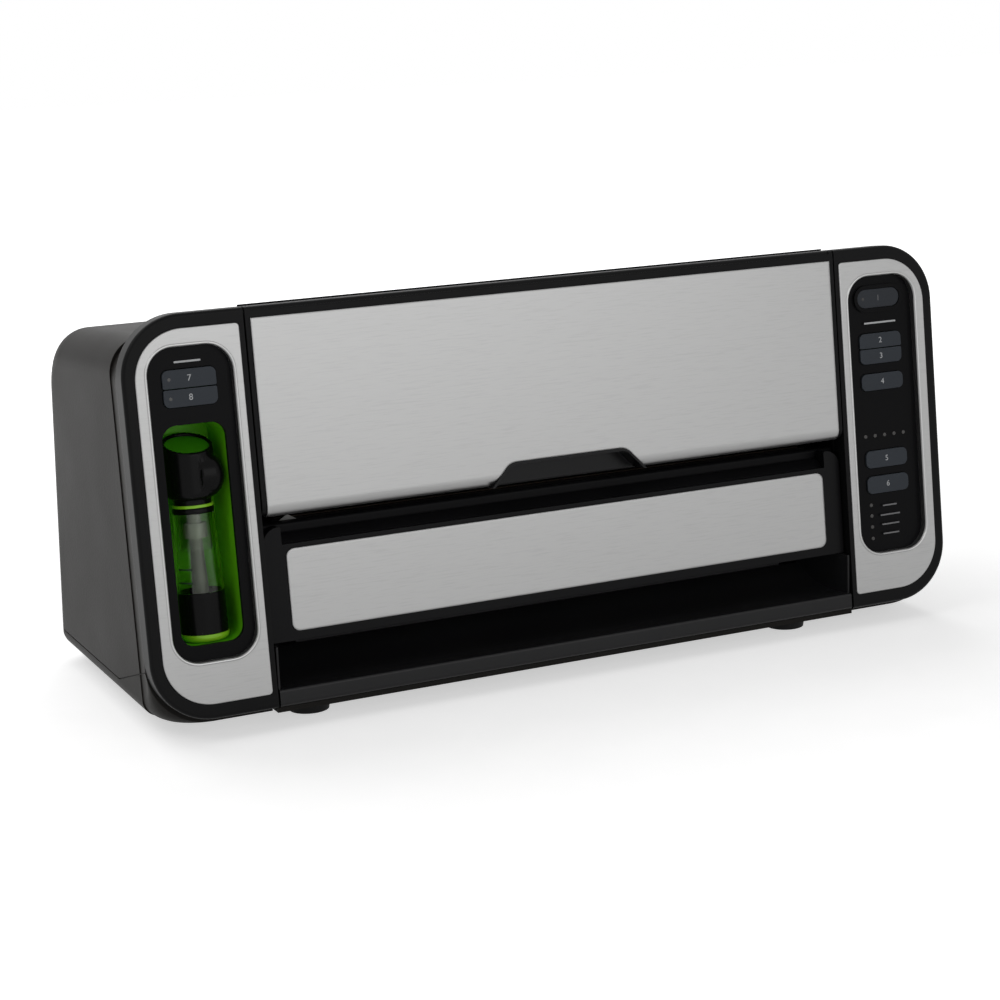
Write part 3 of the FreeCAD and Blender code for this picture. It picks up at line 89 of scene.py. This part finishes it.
def spread(add, factor, low, high, start=0.0, stop=1.0):
    """Value that goes from low to high as the factor goes from start to stop."""
    inputs = {"Value": factor, "From Min": start, "From Max": stop, "To Min": low, "To Max": high}
    return add("ShaderNodeMapRange", inputs).outputs["Result"]


def two_tone(add, factor, low, high, start=0.3, stop=0.7):
    """Colour that goes from low to high as the factor goes from start to stop."""
    ramp = add("ShaderNodeValToRGB", {"Fac": factor})
    ramp.color_ramp.elements[0].position = start
    ramp.color_ramp.elements[0].color = (*low, 1)
    ramp.color_ramp.elements[1].position = stop
    ramp.color_ramp.elements[1].color = (*high, 1)
    return ramp.outputs["Color"]


def shade(colour, share):
    """The colour made darker or paler by a share."""
    return [share * part for part in colour]


def moulded(name, colour, rough, grain=1100.0, relief=0.12, shine=0.3, edge=0.0005, wear_and_highlight=1.6):
    """Moulded plastic: fine texture, uneven gloss, and rounded edges painted paler, partly as wear from
    handling and partly as a painted highlight.
    """
    material, add, feed, place = shader(name)
    cloud = noise(add, place, scale=22.0, detail=4.0)
    tone = two_tone(add, cloud, shade(colour, 0.92), shade(colour, 1.08))
    texture = {"Strength": relief, "Distance": 0.0003, "Height": noise(add, place, scale=grain, detail=2.0)}
    # Rounded edges get a paler colour: partly wear from handling, partly a painted highlight along the edge.
    if edge:
        texture["Normal"] = add("ShaderNodeBevel", {"Radius": edge}, samples=4).outputs["Normal"]
        flat = add("ShaderNodeNewGeometry").outputs["True Normal"]
        turn = add("ShaderNodeVectorMath", {0: texture["Normal"], 1: flat}, operation="DOT_PRODUCT")
        edge_wear_and_highlight_mask = spread(add, turn.outputs["Value"], low=0.0, high=1.0, start=0.97, stop=0.86)
        pale = [part + 0.004 for part in shade(colour, wear_and_highlight)]
        tone = add("ShaderNodeMix", {0: edge_wear_and_highlight_mask, 6: tone, 7: (*pale, 1)}, data_type="RGBA").outputs[2]
    feed("Base Color", tone)
    feed("Roughness", spread(add, cloud, low=rough - 0.05, high=rough + 0.07))
    feed("Normal", add("ShaderNodeBump", texture).outputs["Normal"])
    feed("Specular IOR Level", shine)
    return material


def dress(material, *names):
    """Give CAD nodes their material."""
    for name in names:
        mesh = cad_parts[name].data
        mesh.materials.clear()
        mesh.materials.append(material)


dress(moulded("grey_satin_plastic", (0.0180, 0.0168, 0.0154), rough=0.4, grain=900.0, relief=0.32,
              shine=0.037), "main_shell")
dress(moulded("pan_plastic", (0.0190, 0.0178, 0.0164), rough=0.42, grain=900.0, relief=0.32,
              shine=0.037), "base_pan")


# Feet and cord gland: soft black rubber, pressed into sockets under the pan and into the rear wall.
# The surface is dull, with a slight bloom.
def rubber(name, colour, rough):
    """Dull elastomer with a pale bloom in patches."""
    material, add, feed, place = shader(name)
    bloom = noise(add, place, scale=60.0, detail=6.0)
    pores = {"Strength": 0.25, "Distance": 0.0002, "Height": noise(add, place, scale=2400.0, detail=1.0),
             "Normal": add("ShaderNodeBevel", {"Radius": 0.0006}, samples=4).outputs["Normal"]}
    feed("Base Color", two_tone(add, bloom, colour, shade(colour, 1.5), start=0.35, stop=0.8))
    feed("Roughness", spread(add, bloom, low=rough - 0.08, high=rough + 0.08))
    feed("Normal", add("ShaderNodeBump", pores).outputs["Normal"])
    feed("Specular IOR Level", 0.2)
    return material


dress(rubber("foot_rubber", (0.010, 0.010, 0.010), rough=0.72), "feet", "cord_gland")


# Tower bezels: semi-gloss black ABS frames that close the ends of the housing, each moulded in one piece.
# Each stands in the mouth of its tower and holds a steel fascia.
dress(moulded("trim_black", (0.0045, 0.0045, 0.0048), rough=0.36, grain=1800.0, relief=0.05, shine=0.08),
      "left_bezel", "right_bezel")


# Steel faces: thin stainless sheet on the towers, the lid and the drawer, brushed from side to side.
# Each is bonded into a shallow recess, and its cut edge shows as a bright line.
# The windows of the two tower sheets have a rolled lip: a round bead half sunk in the sheet, its steel
# painted paler as a painted highlight.
def drawn(add, place, stretch):
    """Coordinates drawn out along each axis."""
    return add("ShaderNodeMapping", {"Vector": place, "Scale": stretch}).outputs["Vector"]


def brushed(name, colour, rough, stretch=(110.0, 2100.0, 2100.0), edge=0.0014):
    """Brushed sheet metal: long fine scratches along X in colour, gloss and height."""
    material, add, feed, place = shader(name)
    fine = noise(add, drawn(add, place, stretch), scale=1.0, detail=5.0, roughness=0.7)
    coarse = noise(add, drawn(add, place, (80.0, 1500.0, 1500.0)), scale=1.0, detail=3.0)
    both = add("ShaderNodeMath", {0: fine, 1: coarse}, operation="ADD").outputs["Value"]
    feed("Base Color", two_tone(add, both, shade(colour, 0.965), shade(colour, 1.035), start=0.75, stop=1.0))
    feed("Metallic", 1.0)
    feed("Roughness", spread(add, fine, low=rough - 0.03, high=rough + 0.04, start=0.25, stop=0.75))
    scratches = {"Strength": 0.04, "Distance": 0.0001, "Height": fine}
    if edge:
        scratches["Normal"] = add("ShaderNodeBevel", {"Radius": edge}, samples=6).outputs["Normal"]
    feed("Normal", add("ShaderNodeBump", scratches).outputs["Normal"])
    return material


STEEL = (0.305, 0.305, 0.3035)
dress(brushed("brushed_stainless", STEEL, rough=0.36), "lid_plate", "drawer_plate")
dress(brushed("fascia_stainless", STEEL, rough=0.36, edge=0), "left_fascia", "right_fascia")

LEAN = math.radians(5.0)
RISE = Vector((0, math.sin(LEAN), math.cos(LEAN)))
OUT = Vector((0, -math.cos(LEAN), math.sin(LEAN)))


def on_front(name):
    """A node's low and high ends in x, up the leaning front, and out from it."""
    points = [vertex.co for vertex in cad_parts[name].data.vertices]
    rows = [(point.x, point.dot(RISE), point.dot(OUT)) for point in points]
    return [(min(column), max(column)) for column in zip(*rows)]


def front_point(x, rise, out):
    """Point at x, at a height up the leaning front and a distance out from it."""
    return Vector((x, 0, 0)) + rise * RISE + out * OUT


def middle(span):
    return sum(span) / 2


def placed(name, shape, material):
    """Object from a bmesh, with its material."""
    mesh = bpy.data.meshes.new(name)
    shape.to_mesh(mesh)
    shape.free()
    piece = bpy.data.objects.new(name, mesh)
    bpy.context.scene.collection.objects.link(piece)
    mesh.materials.append(material)
    return piece


def made(name, shape, material, body):
    """Object from a bmesh, with its material, riding on a body."""
    piece = placed(name, shape, material)
    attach(piece, body)
    return piece


def round_corners(steps):
    """Way round a rounded rectangle: the signs of each point's corner, and its angle."""
    for quarter, (sx, sy) in enumerate(((1, 1), (-1, 1), (-1, -1), (1, -1))):
        for step in range(steps + 1):
            yield sx, sy, math.pi / 2 * (quarter + step / steps)


def join_rings(shape, rings):
    """Skin rings of points with smooth faces, from each to the next and from the last to the first."""
    for ring, after in zip(rings, rings[1:] + rings[:1]):
        for side in range(len(ring)):
            beyond = (side + 1) % len(ring)
            shape.faces.new([ring[side], after[side], after[beyond], ring[beyond]]).smooth = True
    bmesh.ops.recalc_face_normals(shape, faces=shape.faces[:])


PANEL_RIM = 0.003
WINDOW_CORNER = 0.013
LIP_OFFSET = 0.0009
LIP_RADIUS = 0.0007
LIP_SINK = 0.00025
LIP_STEPS = 10
LIP_SIDES = 12
# The lip is the fascia's own steel, painted paler than the sheet as a painted highlight along the rolled
# edge.
lip_steel_painted_pale = brushed("lip_stainless_painted_highlight", (0.36, 0.36, 0.358), rough=0.3, edge=0)


def window_lip(name, fascia, panel):
    """Rolled lip round a tower's window. Both windows are as tall as the left panel."""
    (left, right), _, _ = on_front(panel)
    low, high = on_front("left_panel")[1]
    face = on_front(fascia)[2][1] - LIP_SINK
    straight_x = (right - left) / 2 - PANEL_RIM - WINDOW_CORNER
    straight_up = (high - low) / 2 - PANEL_RIM - WINDOW_CORNER
    bead = bmesh.new()
    rings = []
    for sx, sy, angle in round_corners(LIP_STEPS):
        ring = []
        for side in range(LIP_SIDES):
            swing = 2 * math.pi * side / LIP_SIDES
            reach = WINDOW_CORNER + LIP_OFFSET + LIP_RADIUS * math.cos(swing)
            x = middle((left, right)) + sx * straight_x + reach * math.cos(angle)
            rise = middle((low, high)) + sy * straight_up + reach * math.sin(angle)
            ring.append(bead.verts.new(front_point(x, rise, face + LIP_RADIUS * math.sin(swing))))
        rings.append(ring)
    join_rings(bead, rings)
    piece = made(name, bead, lip_steel_painted_pale, "housing")


window_lip("left_window_lip", "left_fascia", "left_panel")
window_lip("right_window_lip", "right_fascia", "right_panel")


# Control panels: near-black glossy inserts in the towers, with slate-grey keys that stand a little proud.
# A key's print is a plain number, the headings are plain bars, and the lenses are smoked plastic.
dress(moulded("panel_black", (0.004, 0.004, 0.0045), rough=0.3, grain=2200.0, relief=0.04, shine=0.05),
      "left_panel", "right_panel")
keys = ["dispense_button", "rewind_button", "seal_cut_button", "seal_button", "cancel_button",
        "vacuum_button", "marinate_button"]
dress(moulded("key_slate", (0.040, 0.046, 0.055), rough=0.4, grain=2200.0, relief=0.06, shine=0.12,
              edge=0.0004, wear_and_highlight=1.9), *keys)
dress(moulded("power_key_slate", (0.034, 0.038, 0.045), rough=0.34, grain=2200.0, relief=0.05, shine=0.12,
              edge=0.0004, wear_and_highlight=1.9), "power_button")
lens = moulded("smoked_lens", (0.022, 0.020, 0.017), rough=0.16, grain=300.0, relief=0.02, shine=0.5)
dress(lens, "panel_lenses")


def ink(name, colour):
    """Printed ink: slightly uneven coverage."""
    material, add, feed, place = shader(name)
    cover = noise(add, place, scale=900.0, detail=3.0)
    feed("Base Color", two_tone(add, cover, shade(colour, 0.85), colour, start=0.3, stop=0.6))
    feed("Roughness", spread(add, cover, low=0.4, high=0.6))
    return material


PRINT_LIFT = 0.00003
PATCH_STEPS = 4
pale_ink = ink("pale_ink", (0.55, 0.56, 0.57))
dim_ink = ink("dim_ink", (0.16, 0.16, 0.165))


def flat_patch(shape, x, rise, out, width, height, corner):
    """Rounded flat patch that lies just proud of a face of the leaning front."""
    ring = []
    for sx, sy, angle in round_corners(PATCH_STEPS):
        across = sx * (width / 2 - corner) + corner * math.cos(angle)
        up = sy * (height / 2 - corner) + corner * math.sin(angle)
        ring.append(shape.verts.new(front_point(x + across, rise + up, out + PRINT_LIFT)))
    shape.faces.new(ring)


NUMBER_SIZE = 0.0042
NUMBER_THICKNESS = 0.00002
for number, name in enumerate(["power_button"] + keys, 1):
    across, up, (_, out) = on_front(name)
    text = bpy.data.curves.new(name + "_number", "FONT")
    text.body = str(number)
    text.size = NUMBER_SIZE
    text.align_x = "CENTER"
    text.align_y = "CENTER"
    text.extrude = NUMBER_THICKNESS
    text.materials.append(pale_ink if number > 1 else dim_ink)
    piece = bpy.data.objects.new(name + "_number", text)
    bpy.context.scene.collection.objects.link(piece)
    piece.location = front_point(middle(across), middle(up), out + PRINT_LIFT)
    piece.rotation_euler = (math.pi / 2 - LEAN, 0, 0)
    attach(piece, name)

LIGHT_INSET = 0.0042
LIGHT_WIDTH = 0.0016
LIGHT_CORNER = 0.00079
for name in ("vacuum_button", "marinate_button", "power_button"):
    (left, _), up, (_, out) = on_front(name)
    light = bmesh.new()
    flat_patch(light, left + LIGHT_INSET, middle(up), out, LIGHT_WIDTH, LIGHT_WIDTH, LIGHT_CORNER)
    made(name + "_light", light, lens, name)

HEADING_HEIGHT = 0.0009
HEADING_CORNER = 0.0004
BAG_HEADING_WIDTH = 0.0200
BAG_HEADING_DROP = 0.0008
ACCESSORY_HEADING_WIDTH = 0.0130
ACCESSORY_HEADING_LIFT = 0.0035
right_across, _, (_, right_face) = on_front("right_panel")
left_across, _, (_, left_face) = on_front("left_panel")
bag_rise = middle((on_front("power_button")[1][0], on_front("dispense_button")[1][1])) - BAG_HEADING_DROP
accessory_rise = on_front("vacuum_button")[1][1] + ACCESSORY_HEADING_LIFT
bag_heading = bmesh.new()
flat_patch(bag_heading, middle(right_across), bag_rise, right_face,
           BAG_HEADING_WIDTH, HEADING_HEIGHT, HEADING_CORNER)
made("bag_heading", bag_heading, pale_ink, "housing")
accessory_heading = bmesh.new()
flat_patch(accessory_heading, middle(left_across), accessory_rise, left_face,
           ACCESSORY_HEADING_WIDTH, HEADING_HEIGHT, HEADING_CORNER)
made("accessory_heading", accessory_heading, pale_ink, "housing")

ROW_WIDTHS = (0.009, 0.0125, 0.011, 0.0102)
ROW_HEIGHT = 0.0008
ROW_CORNER = 0.0003
ROW_PITCH = 0.0051
FIRST_ROW_DROP = 0.0062
first_row = on_front("cancel_button")[1][0] - FIRST_ROW_DROP
rows = bmesh.new()
for row, width in enumerate(ROW_WIDTHS):
    flat_patch(rows, middle(right_across), first_row - ROW_PITCH * row, right_face,
               width, ROW_HEIGHT, ROW_CORNER)
made("status_rows", rows, dim_ink, "housing")


# Niche and handheld sealer: a lime-green moulded pocket in the left tower, with the sealer standing in it.
# The sealer's glossy black head, with a round nozzle boss, and its cup are moulded and have lime rings.
# Between them is a clear tank with level marks, a grey tube and a milky sleeve round the tube's upper half.
dress(moulded("green_liner", (0.145, 0.56, 0.008), rough=0.3, grain=1500.0, relief=0.05, shine=0.15,
              wear_and_highlight=1.2), "niche_liner")
dress(moulded("lime_plastic", (0.27, 0.60, 0.02), rough=0.3, grain=1500.0, relief=0.05, shine=0.4, edge=0),
      "wand_ring", "neck_ring")
dress(moulded("inlay_green", (0.06, 0.30, 0.008), rough=0.18, grain=1500.0, relief=0.02, shine=0.3, edge=0),
      "wand_inlay")
gloss_black = moulded("gloss_black", (0.0025, 0.0025, 0.0027), rough=0.24, grain=1500.0, relief=0.02,
                      shine=0.08, edge=0)
dress(gloss_black, "wand_head", "wand_cup")

HEAD_VOXEL = 0.0005
HEAD_PASSES = 3
HEAD_SOFTNESS = 0.5
SPOUT_START = 1.03
SPOUT_END = 0.0065
SPOUT_SWELL = 1.3
head_left, head_right = on_front("wand_head")[0]
neck_across, _, neck_depth = on_front("neck_ring")
neck_x, neck_out = middle(neck_across), middle(neck_depth)
neck_radius = neck_x - head_left


def head_copy():
    """Copy of the CAD head as an even net of small faces, for rounding."""
    rough_head = bpy.data.objects.new("head_net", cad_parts["wand_head"].data.copy())
    bpy.context.scene.collection.objects.link(rough_head)
    net = rough_head.modifiers.new("net", "REMESH")
    net.mode = "VOXEL"
    net.voxel_size = HEAD_VOXEL
    shape = bmesh.new()
    shape.from_object(rough_head, bpy.context.evaluated_depsgraph_get())
    bpy.data.objects.remove(rough_head)
    return shape


head = head_copy()
spout = [point for point in head.verts
         if math.hypot(point.co.x - neck_x, point.co.dot(OUT) - neck_out) > SPOUT_START * neck_radius]
heights = [point.co.dot(RISE) for point in spout]
depths = [point.co.dot(OUT) for point in spout]
half_tall, half_deep = (max(heights) - min(heights)) / 2, (max(depths) - min(depths)) / 2
spout_rise, spout_out = middle((min(heights), max(heights))), middle((min(depths), max(depths)))
bend = head_right - SPOUT_END
for point in spout:
    rise = point.co.dot(RISE) - spout_rise
    out = point.co.dot(OUT) - spout_out
    past = point.co.x - bend
    swell = math.sqrt((rise / half_tall) ** 2 + (out / half_deep) ** 2 + (max(0, past) / SPOUT_END) ** 2)
    shrink = 1 / max(1, swell)
    point.co = front_point(bend + (past * shrink if past > 0 else past), spout_rise + rise * shrink,
                           spout_out + out * shrink * (SPOUT_SWELL if out > 0 else 1))
for _ in range(HEAD_PASSES):
    bmesh.ops.smooth_vert(head, verts=head.verts[:], factor=HEAD_SOFTNESS,
                          use_axis_x=True, use_axis_y=True, use_axis_z=True)
for face in head.faces:
    face.smooth = True
sealer_head = made("sealer_head", head, gloss_black, "wand")
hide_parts("wand_head")


def tube_look(name, low, high):
    """Grey tube whose upper end is paler: the colour changes between two heights."""
    material, add, feed, place = shader(name)
    height = add("ShaderNodeSeparateXYZ", {"Vector": place}).outputs["Z"]
    share = spread(add, height, low=0.0, high=1.0, start=low, stop=high)
    mottle = noise(add, place, scale=240.0, detail=4.0)
    mixed = add("ShaderNodeMath", {0: share, 1: mottle}, operation="ADD").outputs["Value"]
    feed("Base Color", two_tone(add, mixed, (0.060, 0.057, 0.056), (0.135, 0.13, 0.13), start=0.55, stop=1.0))
    feed("Roughness", spread(add, mottle, low=0.3, high=0.45))
    feed("Specular IOR Level", 0.4)
    return material


COLLAR_FOOT = 0.0130
COLLAR_FADE = 0.0110
tube_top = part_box("wand_tube")[1].z
dress(tube_look("tube_grey", tube_top - COLLAR_FOOT, tube_top - COLLAR_FADE), "wand_tube")


def clear(name, tint, rough):
    """Clear plastic with faint flow lines from moulding."""
    material, add, feed, place = shader(name)
    flow = noise(add, drawn(add, place, (160.0, 160.0, 14.0)), scale=1.0, detail=3.0)
    feed("Base Color", two_tone(add, flow, tint, [min(1.0, part) for part in shade(tint, 1.05)]))
    feed("Roughness", spread(add, flow, low=rough, high=rough + 0.08))
    feed("Transmission Weight", 1.0)
    feed("IOR", 1.27)
    lines = {"Strength": 0.05, "Distance": 0.0002, "Height": flow}
    feed("Normal", add("ShaderNodeBump", lines).outputs["Normal"])
    return material


dress(clear("clear_tank", (0.84, 0.91, 0.80), rough=0.03), "wand_tank")

MARK_SHARES = (0.14, 0.31)
MARK_HEIGHT = 0.0010
MARK_LIFT = 0.00005
MARK_START = math.radians(197)
MARK_SWEEP = math.radians(40)
MARK_STEPS = 8
tank_across, (tank_foot, tank_top), _ = on_front("wand_tank")
tank_x = middle(tank_across)


def tank_radius(rise):
    """Outside radius of the tank near a height up the front, from its own wall."""
    wall = [vertex.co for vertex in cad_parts["wand_tank"].data.vertices]
    rings = sorted((abs(point.dot(RISE) - rise), math.hypot(point.x - tank_x, point.dot(OUT) - neck_out))
                   for point in wall)
    return max(radius for _, radius in rings[:len(rings) // 3])


level_marks = bmesh.new()
for share in MARK_SHARES:
    rise = tank_foot + share * (tank_top - tank_foot)
    reach = tank_radius(rise) + MARK_LIFT
    strip = []
    for step in range(MARK_STEPS + 1):
        angle = MARK_START + MARK_SWEEP * step / MARK_STEPS
        for edge in (-MARK_HEIGHT / 2, MARK_HEIGHT / 2):
            strip.append(level_marks.verts.new(front_point(
                tank_x + reach * math.cos(angle), rise + edge, neck_out - reach * math.sin(angle))))
    for step in range(MARK_STEPS):
        corner = 2 * step
        level_marks.faces.new([strip[corner], strip[corner + 2], strip[corner + 3], strip[corner + 1]])
made("tank_level_marks", level_marks, ink("mark_green", (0.006, 0.035, 0.005)), "wand")

SLEEVE_START = 0.53
SLEEVE_RADIUS = 0.0076
SLEEVE_BORE = 0.0070
SLEEVE_SIDES = 48
sleeve_foot = tank_foot + SLEEVE_START * (tank_top - tank_foot)
sleeve = bmesh.new()
hoops = []
for radius, rise in ((SLEEVE_RADIUS, sleeve_foot), (SLEEVE_RADIUS, tank_top),
                     (SLEEVE_BORE, tank_top), (SLEEVE_BORE, sleeve_foot)):
    turns = [2 * math.pi * side / SLEEVE_SIDES for side in range(SLEEVE_SIDES)]
    hoops.append([sleeve.verts.new(front_point(
        tank_x + radius * math.cos(turn), rise, neck_out + radius * math.sin(turn))) for turn in turns])
join_rings(sleeve, hoops)
for hoop in hoops:
    for point, beside in zip(hoop, hoop[1:] + hoop[:1]):
        sleeve.edges.get([point, beside]).smooth = False
tank_sleeve = made("tank_sleeve", sleeve, clear("milky_sleeve", (0.93, 0.95, 0.91), rough=0.2), "wand")


# Lid: a black moulded cover that turns on pins at the rear, with the steel plate bonded to its front.
# The finger grip at its lower edge is a separate, glossier insert whose rim is painted much paler, a painted
# highlight along the rim with some wear.
dress(moulded("lid_black", (0.0045, 0.0045, 0.0048), rough=0.38, grain=1800.0, relief=0.06, shine=0.08),
      "lid_cover")
# The grip's strong edge paling is a painted highlight along its rim.
dress(moulded("grip_black", (0.0045, 0.0045, 0.005), rough=0.28, grain=1800.0, relief=0.05, shine=0.14,
              edge=0.0008, wear_and_highlight=3.2), "lid_handle")


# Feed, seal and cut: rubber rollers and press bar, a cutter carriage on its rail, a coated heating ribbon.
# They work in a row over a black moulded deck, between black side plates and in front of the roll's trough.
# The rail, the guide rods and the hinge pins are drawn steel.
dress(rubber("roller_rubber", (0.05, 0.05, 0.052), rough=0.6), "feed_roller", "pinch_roller", "press_bar")
dress(moulded("deck_black", (0.005, 0.005, 0.0055), rough=0.45, grain=1600.0, relief=0.1, shine=0.06),
      "feed_deck", "roll_trough", "left_side_plate", "right_side_plate")
dress(brushed("drawn_steel", (0.5, 0.5, 0.5), rough=0.3), "cutter_rail", "guide_rods", "hinge_pins")
dress(moulded("carriage_plastic", (0.30, 0.30, 0.29), rough=0.45), "cutter_carriage")
dress(brushed("coated_ribbon", (0.035, 0.028, 0.022), rough=0.5), "seal_strip", "heat_bar")


# Boards and machinery: fibreglass circuit boards with small black switches, and motors in plated steel cans.
# The pump is cast in grey and the transformer has a laminated core. All are fixed inside the housing.
dress(brushed("zinc_plate", (0.52, 0.53, 0.54), rough=0.42, stretch=(60.0, 60.0, 60.0)),
      "pump_motor", "feed_motor")
dress(moulded("board_green", (0.01, 0.09, 0.035), rough=0.45, grain=700.0, relief=0.1, shine=0.4),
      "control_board", "accessory_board")
dress(moulded("switch_black", (0.015, 0.015, 0.015), rough=0.4), "tact_switches")
dress(moulded("pump_grey", (0.10, 0.10, 0.10), rough=0.5, grain=900.0, relief=0.2), "vacuum_pump")
dress(brushed("core_steel", (0.30, 0.29, 0.27), rough=0.5, stretch=(300.0, 5.0, 300.0)), "transformer")


# Drawer: the black moulded lower front and scoop, which slide out, with a steel plate bonded to the front.
# It carries a smoked drip tray, and foam is laid in its channel and along the sealing line.
dress(moulded("drawer_black", (0.0045, 0.0045, 0.005), rough=0.34, grain=1800.0, relief=0.06, shine=0.08),
      "drawer_front")
# The scoop's black is painted paler than the drawer front's, a painted reflection of the pale floor; its
# higher gloss is real.
dress(moulded("scoop_black_painted_reflection", (0.0085, 0.0085, 0.0092), rough=0.3, grain=1800.0, relief=0.05, shine=0.2),
      "drawer_base")
dress(moulded("tray_smoke", (0.03, 0.03, 0.032), rough=0.28, grain=1600.0, relief=0.05, shine=0.4),
      "drip_tray")
dress(rubber("gasket_foam", (0.03, 0.03, 0.032), rough=0.8), "lower_gasket", "upper_gasket", "seal_pad")


# Vacuum head: the black moulded upper jaw that closes on the drawer's channel.
# It slides on the guide rods and carries the upper gasket and the heating bar.
dress(moulded("head_black", (0.012, 0.012, 0.013), rough=0.42, grain=1600.0, relief=0.1, shine=0.3),
      "vacuum_head")


# Studio: a pale matt floor and a white surround, with soft lights at front right, upper left and behind.
# The camera has a long lens and stands to the front left, a little above the lid.
def seen(add):
    """1 for rays from the camera, off a mirror or through a clear piece, and 0 for the rest."""
    ray = add("ShaderNodeLightPath").outputs
    turned_rays = {0: ray["Is Glossy Ray"], 1: ray["Is Transmission Ray"]}
    turned = add("ShaderNodeMath", turned_rays, operation="MAXIMUM").outputs["Value"]
    return add("ShaderNodeMath", {0: ray["Is Camera Ray"], 1: turned}, operation="MAXIMUM").outputs["Value"]


def floor_look():
    """Pale matt floor that shows as white away from the machine."""
    material, add, feed, place = shader("pale_floor")
    mottle = noise(add, place, scale=40.0, detail=3.0)
    feed("Base Color", two_tone(add, mottle, (0.80, 0.80, 0.80), (0.83, 0.83, 0.83)))
    feed("Roughness", 0.9)
    feed("Specular IOR Level", 0.0)
    reach = add("ShaderNodeVectorMath", {0: place}, operation="LENGTH").outputs["Value"]
    pale = spread(add, reach, low=0.55, high=1.0, start=0.35, stop=1.6)
    glow = add("ShaderNodeMath", {0: pale, 1: seen(add)}, operation="MULTIPLY").outputs["Value"]
    feed("Emission Color", (1, 1, 1, 1))
    feed("Emission Strength", glow)
    return material


FLOOR_HALF = 9.0
FLOOR_SQUARES = 8
ground = bmesh.new()
bmesh.ops.create_grid(ground, x_segments=FLOOR_SQUARES, y_segments=FLOOR_SQUARES, size=FLOOR_HALF)
floor = placed("floor", ground, floor_look())

world = bpy.data.worlds.new("studio")
bpy.context.scene.world = world
world.use_nodes = True
sky = world.node_tree.nodes["Background"]
sky_node = node_maker(world.node_tree)
join(world.node_tree, sky.inputs["Color"], (1, 1, 1, 1))
join(world.node_tree, sky.inputs["Strength"], spread(sky_node, seen(sky_node), low=0.22, high=1.0))


def softbox(name, place, aim, width, height, power):
    """Rectangular lamp in metres and watts, turned to what it lights."""
    lamp = bpy.data.lights.new(name, "AREA")
    lamp.shape = "RECTANGLE"
    lamp.size = width
    lamp.size_y = height
    lamp.energy = power
    thing = bpy.data.objects.new(name, lamp)
    bpy.context.scene.collection.objects.link(thing)
    thing.location = place
    thing.rotation_euler = (Vector(aim) - Vector(place)).to_track_quat("-Z", "Y").to_euler()


softbox("front_box", (0.45, -2.3, 0.8), (0, 0, 0.10), width=1.9, height=1.3, power=11)
softbox("upper_left_box", (-1.5, -0.3, 1.6), (0, 0, 0.10), width=1.2, height=1.0, power=6)
softbox("rear_box", (-0.2, 1.1, 1.7), (0, 0, 0.15), width=2.4, height=1.4, power=22)

CAMERA_LENS = 81.2
CAMERA_SENSOR = 36
CAMERA_PLACE = Vector((-0.49507, -1.08312, 0.33197))
CAMERA_RIGHT = Vector((0.90427, -0.42498, -0.04102))
CAMERA_DOWN = Vector((-0.12604, -0.17391, -0.97666))
CAMERA_AHEAD = Vector((0.40792, 0.88834, -0.21082))
camera_data = bpy.data.cameras.new("camera")
camera_data.lens = CAMERA_LENS
camera_data.sensor_width = CAMERA_SENSOR
camera = bpy.data.objects.new("camera", camera_data)
bpy.context.scene.collection.objects.link(camera)
camera_turn = Matrix((CAMERA_RIGHT, -CAMERA_DOWN, -CAMERA_AHEAD)).transposed().to_4x4()
camera.matrix_world = Matrix.Translation(CAMERA_PLACE) @ camera_turn
bpy.context.scene.camera = camera
bpy.context.scene.view_settings.view_transform = "Standard"
